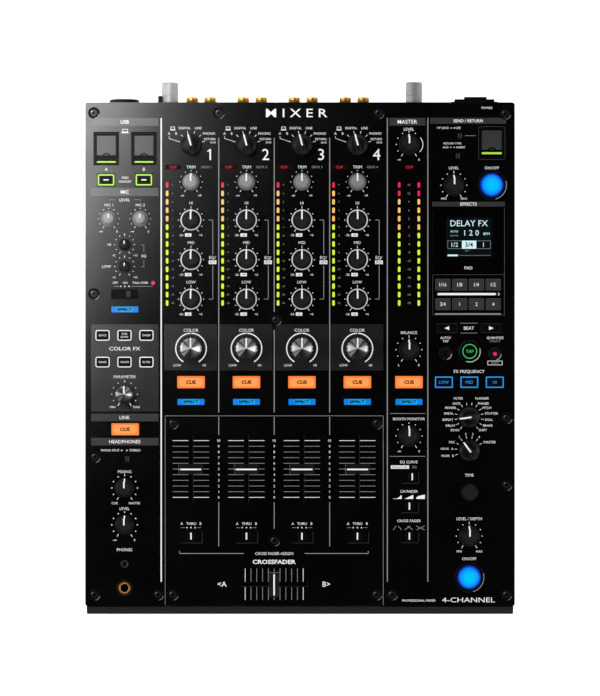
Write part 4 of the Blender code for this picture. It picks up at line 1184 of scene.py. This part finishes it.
def dial_marks(ink, x, y, radius, labels, capital=1.7, tick=True, dot=0.42, size=1.6, skip=(), drop=1.9):
    """Dots round a knob every 30 degrees, with a tick at the top and at each end."""
    for angle in (-120, -90, -60, -30, 30, 60, 90, 120):
        if angle not in skip:
            ink.dot(*around(x, y, radius, angle), dot)
    if tick:
        ink.line(*around(x, y, radius - 0.9, 0), *around(x, y, radius + 1.2, 0), 0.4)
    else:
        ink.dot(*around(x, y, radius, 0), dot)
    for angle, label, side in ((-147, labels[0], -1), (147, labels[1], 1)):
        ink.line(*around(x, y, radius - 1.2, angle), *around(x, y, radius + size - 0.6, angle), 0.45)
        ink.words(label, x + side * radius * 0.78, y - radius - drop, capital)


def header(bars, ink, text, left, right, bottom, top, capital=2.6):
    """A section's title on a grey bar."""
    bars.box((left, bottom, TOP + 0.005), (right, top, TOP + 0.09), edge=0.02, segments=1)
    ink.words(text, (left + right) / 2, (bottom + top) / 2, capital, bottom=TOP + 0.1, weight=0.04)


def print_channels(ink, grey):
    """Legends of the four strips, from the input selector to the colour knob."""
    for number, x in enumerate(CHANNELS, start=1):
        for angle in (-75, -45, -15, 15, 45, 75):
            ink.line(*around(x, SELECTOR_Y, 9.0, angle), *around(x, SELECTOR_Y, 11.0, angle), 0.4)
        ink.frame(x - 14.2, SELECTOR_Y + 13.0, 3.4, 2.2, 0.3, 0.35)
        ink.line(x - 16.3, SELECTOR_Y + 11.5, x - 12.1, SELECTOR_Y + 11.5, 0.5)
        lead = [(x - 17.0, SELECTOR_Y + 6.6), (x - 17.0, SELECTOR_Y + 5.0), around(x, SELECTOR_Y, 11.0, -75)]
        ink.path(lead, 0.3)
        ink.words("DIGITAL", x - 4.8, SELECTOR_Y + 13.0, 1.8, wide=0.95)
        for text, across, up, capital in (
                ("A", -17.0, 8.8, 1.9), ("B", -11.4, 8.8, 1.9), ("LINE", 5.6, 13.0, 1.8),
                ("PHONO", 14.0, 8.8, 1.8), ("RETURN", 14.6, 4.5, 1.6), ("AUX", 17.0, 1.9, 1.5),
                (str(number), 14.9, -7.5, 8.6)):
            ink.words(text, x + across, SELECTOR_Y + up, capital)
        if number == 1:
            ink.line(x + 12.7, SELECTOR_Y - 5.2, x + 14.7, SELECTOR_Y - 3.9, 0.9)
        ink.words("TRIM", x, TRIM_Y + 11.5, 2.2)
        grey.words(f"DECK {number}", x + 11.8, TRIM_Y + 11.5, 1.7)
        dial_marks(ink, x, TRIM_Y, 8.7, ("-∞", "+9"), tick=False, dot=0.36, size=1.2)
        for band, y in EQ_Y.items():
            ink.words(band, x, y + 13.2, 2.1)
            dial_marks(ink, x, y, 9.7, ("-26", "+6"))
            ink.patch(x - 2.2, y - 11.6, 5.0, 2.5)
            ink.words("-∞", x - 2.2, y - 11.6, 1.7, bottom=TOP + 2 * INK, slot=1)
        side = x + 16.9
        for band, reach in (("HI", 4.0), ("LOW", -4.6)):
            grey.path([(side - 3.2, EQ_Y[band]), (side, EQ_Y[band]), (side, EQ_Y["MID"] + reach)], 0.45)
        ink.words("EQ/", side - 0.2, EQ_Y["MID"] + 1.6, 2.3)
        ink.patch(side - 0.2, EQ_Y["MID"] - 2.0, 6.0, 2.9)
        ink.words("ISO", side - 0.2, EQ_Y["MID"] - 2.0, 2.0, bottom=TOP + 2 * INK, slot=1)
        for step, value in enumerate((7, 6, 3, 2, 1, -1, -3, -6, -9, -12, -15, -18, -21, -24, -30)):
            grey.words(str(value), x - 14.4, METER_TOP - step * METER_PITCH, 1.3)
        ink.words("COLOR", x, COLOR_Y + 14.2, 2.3, bottom=FILM_PRINT, weight=0.02)
        for start, end, text, across in ((2, 150, "LOW", -10.6), (210, 358, "HI", 10.2)):
            ink.band(x, COLOR_Y, 11.4, 12.3, TOP + 0.16, TOP + 0.2, start=start, end=end)
            ink.words(text, x + across, COLOR_Y - 13.0, 1.8, bottom=FILM_PRINT)


def print_left(ink, grey, bars):
    """Legends of the left strip: memory bays, microphones, colour effects and headphones."""
    left, right = LEFT_STRIP
    for text, bottom, top in (("USB", 172.2, 178.3), ("MIC", 117.8, 124.1), ("LINK", -56.8, -50.9),
                              ("HEADPHONES", -75.5, -69.7)):
        header(bars, ink, text, left, right, bottom, top)
    mid = (left + right) / 2
    for x, letter in zip((-150.2, -121.0), "AB"):
        ink.words(letter, x, 138.6, 2.5)
    ink.frame(mid + 0.2, 168.6, 4.4, 2.4, 0.3, 0.4)
    ink.line(mid - 2.6, 166.9, mid + 3.0, 166.9, 0.6)
    ink.words("MIDI", mid + 0.2, 132.0, 1.8)
    ink.words("ON/OFF", mid + 0.2, 129.0, 1.8)
    ink.words("LEVEL", mid, 114.8, 2.2)
    for side in (-1, 1):
        grey.path([(mid + side * 7.2, 115.0), (mid + side * 11.8, 115.0), (mid + side * 11.8, 113.8)], 0.3)
    for number, (x, y) in enumerate(MIC_LEVELS, start=1):
        ink.words(f"MIC {number}", x, y + 10.6, 2.0)
        dial_marks(ink, x, y, 8.0, ("-∞", "0"), tick=False, dot=0.36, size=1.3)
    for (x, y), name in zip(MIC_TONES, ("HI", "LOW")):
        for angle in range(-120, 121, 30):
            ink.dot(*around(x, y, 7.6, angle), 0.36)
        ink.line(*around(x, y, 6.6, 0), *around(x, y, 8.6, 0), 0.35)
        for angle, label in ((-150, "-12"), (150, "+12")):
            ink.line(*around(x, y, 6.4, angle), *around(x, y, 8.0, angle), 0.4)
            ink.words(label, x + math.copysign(8.4, angle), y - 8.4, 1.5)
        ink.words(name, x - 10.6, y, 2.0, align=-1.0)
    for knob_y, word_y in ((79.8, 74.4), (62.9, 68.4)):
        grey.path([(-123.4, knob_y), (-121.0, knob_y), (-121.0, word_y)], 0.3)
    ink.words("EQ", -121.0, 71.4, 2.0)
    for text, x in (("OFF", -143.2), ("ON", -135.6), ("TALK OVER", -123.8)):
        ink.words(text, x, 50.6, 1.6)
    for x in (-139.0, -135.8, -132.6):
        ink.dot(x, 47.8, 0.55)
    grey.line(-144.0, 47.8, -140.2, 47.8, 0.3)
    grey.line(-131.2, 47.8, -114.2, 47.8, 0.3)
    ink.words("COLOR FX", mid, -0.5, 2.7, bottom=FILM_PRINT, weight=0.03, wide=1.25)
    ink.words("PARAMETER", mid, -22.3, 2.2, bottom=FILM_PRINT)
    x, y = LEFT_X, -35.8
    for angle in range(-120, 121, 30):
        ink.dot(*around(x, y, 9.9, angle), 0.45, bottom=FILM_PRINT)
    ink.line(*around(x, y, 9.0, 0), *around(x, y, 11.0, 0), 0.4, bottom=FILM_PRINT)
    for angle, label, side in ((-150, "MIN", -1), (150, "MAX", 1)):
        ink.line(*around(x, y, 7.7, angle), *around(x, y, 10.4, angle), 0.5, bottom=FILM_PRINT)
        ink.words(label, x + side * 9.4, y - 10.0, 1.7, bottom=FILM_PRINT)
    ink.words("MONO SPLIT", -140.0, -79.3, 1.7, align=-1.0)
    ink.words("STEREO", -132.2, -79.3, 1.7, align=1.0)
    for x in (-138.2, -134.2):
        ink.patch(x, -79.4, 0.9, 0.9)
    for name, node, ends in (("MIXING", "headphone_mix_knob", ("CUE", "MASTER")),
                             ("LEVEL", "headphone_level_knob", ("-∞", "0"))):
        centre = middle(node)
        ink.words(name, centre.x, centre.y + 12.6, 2.1)
        dial_marks(ink, centre.x, centre.y, 9.9, ends, tick=name == "MIXING", dot=0.48)
    ink.words("PHONES", LEFT_X, -156.4, 2.2)


def print_master(ink, grey, bars):
    """Legends of the master strip, with the three curve switches."""
    header(bars, ink, "MASTER", 69.4, 97.2, 172.4, 178.4, capital=2.9)
    x = MASTER_X
    ink.words("LEVEL", x, 169.6, 2.2)
    dial_marks(ink, x, 157.8, 9.9, ("-∞", "0"), tick=False, skip=(60, 90, 120))
    for angle in range(58, 121, 6):
        ink.line(*around(x, 157.8, 10.2 + 0.6 * math.sin(math.radians((angle - 58) * 2.9)), angle),
                 *around(x, 157.8, 10.2 + 0.6 * math.sin(math.radians((angle - 52) * 2.9)), angle + 6.4), 0.5)
    for step, value in enumerate((15, 12, 9, 6, 3, 0, -3, -6, -9, -12, -15, -18, -21, -24, -30)):
        grey.words(str(value), sum(MASTER_METERS) / 2, METER_TOP - step * METER_PITCH, 1.5)
    for name, node, ends in (
            ("BALANCE", "balance_knob", ("L", "R")), ("BOOTH MONITOR", "booth_level_knob", ("-∞", "0"))):
        centre = middle(node)
        ink.words(name, x, centre.y + 13.2, 2.0)
        dial_marks(ink, x, centre.y, 10.0, ends, tick=name == "BALANCE", dot=0.4)
    for y in (-50.8, -84.0):
        grey.line(69.8, y, 97.0, y, 0.35)
    ink.words("EQ CURVE", x, -88.4, 2.0)
    ink.patch(x - 7.0, -92.3, 14.0, 2.6)
    ink.words("ISOLATOR", x - 7.0, -92.3, 1.7, bottom=TOP + 2 * INK, slot=1)
    grey.words("EQ", x + 4.2, -92.3, 1.8)
    ink.words("CH FADER", x, -111.2, 2.0)
    ink.words("CROSS FADER", x, -134.0, 2.0)
    for index, bend in enumerate((2.6, 1.0, 0.3)):
        base = x - 12.3 + index * 9.0
        for step in range(8):
            share = (step + 0.5) / 8
            height = max(0.3, 3.2 * share ** bend)
            ink.patch(base + share * 6.6, -117.0 + height / 2, 0.86, height)
        width, low, high = 6.4, -141.0, -138.0
        reach = width * (0.25 + 0.75 * (0.15, 0.55, 1.0)[index])
        grey.line(base, low, base + reach, high, 0.4)
        grey.line(base + width, low, base + width - reach, high, 0.4)


def print_right(ink, grey, bars):
    """Legends of the right strip: send and return, effects, and the names along the edges."""
    header(bars, ink, "SEND / RETURN", 100.9, 159.8, 173.8, 178.5, capital=2.2)
    header(bars, ink, "EFFECTS", 102.5, 158.8, 109.7, 113.4, capital=2.4)
    ink.words("1/4\" JACK", 115.6, 170.7, 1.6, align=-1.0)
    ink.words("USB", 120.6, 170.7, 1.6, align=1.0)
    for x, y in ((117.2, 170.6), (119.4, 170.6), (116.9, 155.6), (119.6, 155.6)):
        ink.patch(x, y, 0.8, 0.8)
    ink.words("RETURN TYPE", 118.2, 158.6, 1.5)
    ink.words("AUX", 115.2, 155.6, 1.5, align=-1.0)
    ink.words("INSERT", 121.4, 155.6, 1.5, align=1.0)
    grey.line(127.0, 164.6, 136.0, 164.6, 0.3)
    send = middle("send_level_knob")
    ink.words("LEVEL", send.x, send.y + 13.4, 2.1)
    dial_marks(ink, send.x, send.y, 10.0, ("MIN", "MAX"), capital=1.6, drop=0.4)
    ink.words("ON/OFF", 148.7, send.y + 13.4, 2.1)
    ink.words("POWER", 145.0, 186.2, 1.7)
    ink.words("BEAT", RIGHT_X - 0.2, BEAT_KEYS_Y, 2.4)
    for y in (11.6, 19.2):
        grey.line(124.4, y, 137.6, y, 0.3)
    ink.words("AUTO/", 112.9, 7.9, 1.8)
    ink.words("TAP", 112.9, 5.3, 1.8)
    ink.words("QUANTIZE", 151.3, 7.9, 1.8)
    grey.words("UTILITY", 151.3, 5.3, 1.6)
    ink.frame(151.2, -11.6, 11.6, 3.4, 0.2, 0.35)
    grey.words("SHIFT", 151.2, -11.6, 1.7)
    ink.words("FX FREQUENCY", RIGHT_X, -18.2, 2.3)
    wheel = middle("fx_selector")
    effects = ("ECHO", "DELAY", "REPEAT", "SPIRAL", "REVERB", "GATE", "FILTER", "FLANGER", "PHASER", "PITCH",
               "STUTTER", "ROLL", "BRAKE", "SHIFT")
    for index, effect in enumerate(effects):
        angle = -143 + 22 * index
        ink.line(*around(wheel.x, wheel.y, 9.3, angle), *around(wheel.x, wheel.y, 11.4, angle), 0.35)
        px, py = around(wheel.x, wheel.y, 12.6, angle)
        side = -1.0 if index < 7 else 1.0
        if index in (6, 7):  # the two beside the top stand higher and wider apart
            px, py = px + side * 2.4, py + 2.2
        ink.words(effect, px, py, 1.7, align=side)
    wheel = middle("fx_channel_selector")
    for angle in (-108, -84, -60, -36, -12, 12, 36, 60):
        ink.line(*around(wheel.x, wheel.y, 9.3, angle), *around(wheel.x, wheel.y, 11.4, angle), 0.35)
    for angle, label, side in (
            (-60, "MIC", -1.0), (-36, "1", 0.0), (-12, "2", 0.0), (12, "3", 0.0), (36, "4", 0.0),
            (60, "MASTER", 1.0)):
        px, py = around(wheel.x, wheel.y, 13.0, angle)
        ink.words(label, px, py, 1.8, align=side)
    for label, word, angle in (("A", "CROSS", -84), ("B", "FADER", -108)):
        px, py = around(wheel.x, wheel.y, 13.2, angle)
        ink.words(label, px, py, 1.7)
        ink.words(word, px - 2.6, py, 1.5, align=-1.0)
    ink.words("TIME", RIGHT_X, -98.6, 2.2)
    depth = middle("fx_depth_knob")
    ink.words("LEVEL / DEPTH", depth.x, depth.y + 13.4, 2.1)
    dial_marks(ink, depth.x, depth.y, 10.0, ("MIN", "MAX"), capital=1.6)
    ink.words("ON/OFF", RIGHT_X, -163.4, 2.1)
    ink.words("PROFESSIONAL MIXER", 92.2, -195.8, 1.7, wide=1.05)
    ink.words("4-CHANNEL", 130.6, -195.3, 3.6, wide=1.42)
    ink.words("M I X E R", -2.6, 182.2, 6.4, weight=0.05, wide=1.3)


def print_faders(ink, grey, rules):
    """The fader panel's scales and words."""
    scale = [FADER_Y + 22.0 - 4.4 * step for step in range(11)]
    for x in CHANNELS:
        for step, y in enumerate(scale):
            marks, width = (ink, 0.42) if step in (0, 10) else (rules, 0.38)
            for low, high in ((-14.2, -2.0), (2.0, 14.0)):
                marks.line(x + low, y, x + high, y, width, bottom=SUNK_PRINT)
        ink.words("A   THRU   B", x, -136.2, 2.0, bottom=SUNK_PRINT)
        for offset in (-3.2, 0.0, 3.2):
            ink.dot(x + offset, -139.3, 0.5, bottom=SUNK_PRINT)
        for side in (-1, 1):
            grey.line(x + side * 4.8, -139.3, x + side * 7.8, -139.3, 0.3, bottom=SUNK_PRINT)
    for x in BETWEEN:
        for step, y in enumerate(scale):
            ink.words(str(10 - step), x, y, 1.9, bottom=SUNK_PRINT)
    for step in range(11):
        x = CROSS_X - 22.5 + 4.5 * step
        marks = ink if step in (0, 10) else rules
        for start, end in ((1.9, 12.2), (-2.3, -12.2)):
            marks.line(x, CROSS_Y + start, x, CROSS_Y + end, 0.42, bottom=SUNK_PRINT)
    for x, text in ((CROSS_X - 40.4, "<A"), (CROSS_X + 40.4, "B>")):
        ink.words(text, x, CROSS_Y, 3.9, bottom=SUNK_PRINT, weight=0.04)
    for outer, inner in ((-93.4, -43.5), (52.9, 3.6)):
        grey.path([(outer, -157.4), (outer, -159.3), (inner, -159.3)], 0.5, bottom=SUNK_PRINT)
    ink.words("CROSS FADER ASSIGN", CROSS_X, -159.4, 2.1, bottom=SUNK_PRINT, wide=0.97)
    ink.words("CROSSFADER", CROSS_X, -165.8, 3.0, bottom=SUNK_PRINT, weight=0.12, wide=1.25)


def print_rules(bright, rules):
    """The long lines between the strips, and the fader panel's fine edge."""
    bright.line(-107.6, FRONT_END, -107.6, REAR_END - 0.1, 1.0)
    for x in (67.7, 99.1):
        rules.line(x, FRONT_END, x, REAR_END, 0.8)
    for index, x in enumerate(BETWEEN):
        by_screws = index == 1  # the middle rule makes way for two screws
        for start, end in ((163.0, 28.0), (14.0, -50.0)) if by_screws else ((163.0, -50.0),):
            rules.line(x, start, x, end, 0.75)
        rules.line(x, -53.4, x, -67.4, 0.6, bottom=SUNK_PRINT)
        rules.line(x, -119.6, x, -140.0 if by_screws else -153.8, 0.6, bottom=SUNK_PRINT)
    low, high = corners("fader_panel")
    edge = high.y - 0.4
    rules.line(low.x + 0.6, edge, high.x - 0.6, edge, 0.35, bottom=SUNK_PRINT)
    for x in (low.x + 0.4, high.x - 0.4):
        rules.line(x, edge, x, low.y + 1, 0.3, bottom=SUNK_PRINT)


def make_zones():
    zones = Piece(FILM)
    for x in CHANNELS:
        zones.block(x - 0.3, 0.5, 40.8, 35.8, TOP + 0.005, TOP + 0.15, edge=0.03, segments=1)
    zones.box((LEFT_STRIP[0], -49.2, TOP + 0.005), (LEFT_STRIP[1], 18.4, TOP + 0.15), edge=0.03, segments=1)
    zones.finish("effect_zone_film")


def make_legends():
    ink, grey, rules = Piece(WHITE_INK, DARK_INK), Piece(GREY_INK), Piece(RULE_INK)
    bright, bars = Piece(WHITE_INK), Piece(BAR_INK)
    print_channels(ink, grey)
    ink.finish("legends_channels", sharp=30.0)
    ink = Piece(WHITE_INK)
    print_left(ink, grey, bars)
    ink.finish("legends_left", sharp=30.0)
    ink = Piece(WHITE_INK, DARK_INK)
    print_master(ink, grey, bars)
    print_right(ink, grey, bars)
    ink.finish("legends_right", sharp=30.0)
    ink = Piece(WHITE_INK)
    print_faders(ink, grey, rules)
    ink.finish("legends_faders", sharp=30.0)
    print_rules(bright, rules)
    for piece, name in (
            (grey, "legends_grey"), (rules, "strip_rules"), (bright, "bright_rule"), (bars, "header_bars")):
        piece.finish(name, sharp=30.0)


# Rear face

def knurled_terminal(piece, x, z):
    start = REAR + 4.0
    reach = corners("rear_jack_board")[1].y - start
    piece.turned([
        (0, reach + 0.05), (5.4, reach + 0.05), (6.3, reach - 0.6), (6.45, reach - 0.9, 0.16),
        (6.45, 7.2, 0.16),
        (6.35, 6.9), (6.22, 6.6), (6.22, 6.2), (6.35, 5.9), (6.4, 5.6), (6.4, 0.6), (6.3, -0.1), (0, -0.1)],
        x=x, y=start, z=z, sides=144, flutes=48, along="Y")


def make_rear_connectors():
    """Gold phono sockets, jack nuts, round connectors, ports and terminals on the rear panel."""
    gold = Piece(GOLD, BLACK_PLASTIC)
    sockets = [(x + side * PHONO_HALF, z) for x in PHONO_PAIRS for z in (68.0, 48.0) for side in (-1, 1)]
    sockets += [(x + PHONO_HALF, 28.0) for x in PHONO_PAIRS]
    for x, z in sockets:
        gold.turned([
            (1.7, 9.9), (3.9, 9.9), (4.45, 9.4), (4.45, 6.6), (4.3, 6.3), (4.3, 0.5), (5.4, 0.4), (5.4, 0.02),
            (1.7, 0.02), (1.7, 9.9)], x=x, y=REAR, z=z, sides=36, along="Y")
        gold.turned(
            [(0, 9.0), (1.65, 9.0), (1.65, 0.1), (0, 0.1)], x=x, y=REAR, z=z, slot=1, sides=20, along="Y")
    gold.finish("rear_phono_sockets", slot="gold_plate")
    metal = Piece(STEEL_AND_GLINT, BLACK_PLASTIC)
    for x, z in ((-101.3, 74.0), (88.7, 76.0)):
        knurled_terminal(metal, x, z)
        metal.turned([(0, 4.2), (2.6, 4.2), (2.6, 0.0), (0, 0)], x=x, y=REAR, z=z, sides=20, along="Y")
    jacks = [(x, z) for x in (108.5, 66.0) for z in (60.0, 46.0, 32.0, 18.0)] + [(-118.0, 44.0)]
    for x, z in jacks:
        metal.turned([
            (3.3, 3.3), (4.6, 3.35), (5.25, 3.05), (5.3, 1.6), (6.0, 1.4), (6.1, 0.05), (3.3, 0.05),
            (3.3, 3.3)], x=x, y=REAR, z=z, sides=36, along="Y")
    metal.finish("rear_jack_nuts", slot="supply_steel")
    plates = Piece(BLACK_PLASTIC, STEEL_AND_GLINT)
    for x, z, bore, lift in ((88.7, 50.0, 9.4, 1.7), (88.7, 22.0, 9.4, 1.7), (-137.5, 56.0, 9.6, 1.7)):
        plates.band(x, z, bore, 12.9, REAR + 0.05, REAR + lift, along="Y")
        reach = 8.9 if x < 0 else 6.2
        plates.turned([
            (bore - 0.3, reach), (11.0, reach), (11.7, reach - 0.7), (11.7, 0.1), (bore - 0.3, 0.1),
            (bore - 0.3, reach)], x=x, y=REAR, z=z, sides=48, along="Y")
        for side in (-1, 1):
            plates.turned([(0, 0.9), (1.3, 0.8), (1.6, 0.1), (0, 0.05)], x=x + side * 11.2, y=REAR + lift - 0.3,
                          z=z - side * 11.2, slot=1, sides=20, along="Y")
        if bore == 9.4:
            for angle in (90, 210, 330):
                px, pz = around(x, z, 4.6, angle)
                plates.turned([(0, 14.0), (0.9, 13.6), (1.1, 12.8), (1.1, 0.0), (0, 0)],
                              x=px, y=170.0, z=pz, slot=1, sides=14, along="Y")
    for side in (-1, 0, 1):
        pin_x, inset = INLET_X + side * 7, abs(side)
        plates.box((pin_x - 1.0, 170.5, 25.0 + inset), (pin_x + 1.0, 184.5, 28.5 - inset), edge=0.3, slot=1)
    plates.box((-110.4, REAR + 0.1, 66.0), (-107.2, REAR + 10.6, 79.0), edge=0.5)
    plates.finish("rear_round_connectors", slot="soft_black")
    print_rear()


def print_rear():
    ink = Piece(WHITE_INK)
    face = REAR + 0.02
    for index, centre in enumerate(PHONO_PAIRS):
        ink.words(f"CH {index + 1}", centre, 79.0, 2.2, bottom=face, rear=True)
        ink.words("PHONO", centre, 58.4, 1.8, bottom=face, rear=True)
        ink.words("LINE", centre, 38.6, 1.8, bottom=face, rear=True)
        ink.words("DIGITAL IN", centre + PHONO_HALF, 19.4, 1.8, bottom=face, rear=True)
    for text, x, z in (
            ("MASTER 2", 66.0, 68.6), ("BOOTH", 56.4, 25.0), ("SEND", 118.0, 53.0), ("RETURN", 119.0, 25.0),
            ("MASTER 1", 88.7, 66.0), ("MIC 1", -137.5, 73.5), ("MIC 2", -118.0, 53.0), ("GND", -101.3, 64.6),
            ("LINK", -137.5, 36.0), ("USB", -103.5, 30.6), ("AC IN", INLET_X, 40.5), ("POWER", INLET_X, 56.0),
            ("R", -70.15, 34.6), ("L", -84.25, 34.6)):
        ink.words(text, x, z, 1.9, bottom=face, rear=True)
    ink.finish("legends_rear", slot="case_paint", sharp=30.0)


def make_power_switch():
    low, high = corners("power_switch")
    centre = middle("power_switch")
    rocker = Piece(BLACK_PLASTIC, WHITE_INK)
    rows = []
    half = (high.z - low.z) / 2 - 0.9
    for step in range(9):
        share = -1 + step / 4
        rows.append((half * share, 4.6 + 1.9 * share ** 2))
    outline = [(-half + 1.4, -7.0)] + rows + [(half - 1.4, -7.0)]
    rocker.prism([[(x, depth, z) for z, depth in outline] for x in (-9.9, 9.9)])
    rocker.box((-0.5, 5.2, 2.2), (0.5, 6.05, 5.0), edge=0.15, slot=1)
    rocker.band(0, -3.9, 1.0, 1.6, 5.1, 5.75, slot=1, along="Y")
    switch = rocker.finish("power_switch_rocker", "power_switch", "soft_black", (centre.x, REAR - 1, centre.z),
                           replaces=["power_switch"], sharp=30.0)
    switch.rotation_euler = (math.radians(7), 0, 0)


make_camera()
make_studio()
make_case()
make_side_details()
make_zones()
make_panel_screws()
make_knobs()
make_faders()
make_fader_slots()
make_cue_keys()
make_effect_keys()
make_round_buttons()
make_beat_keys()
make_meters()
make_lamps()
make_switches()
make_memory_bays()
make_panel_jacks()
make_display()
make_legends()
make_rear_connectors()
make_power_switch()
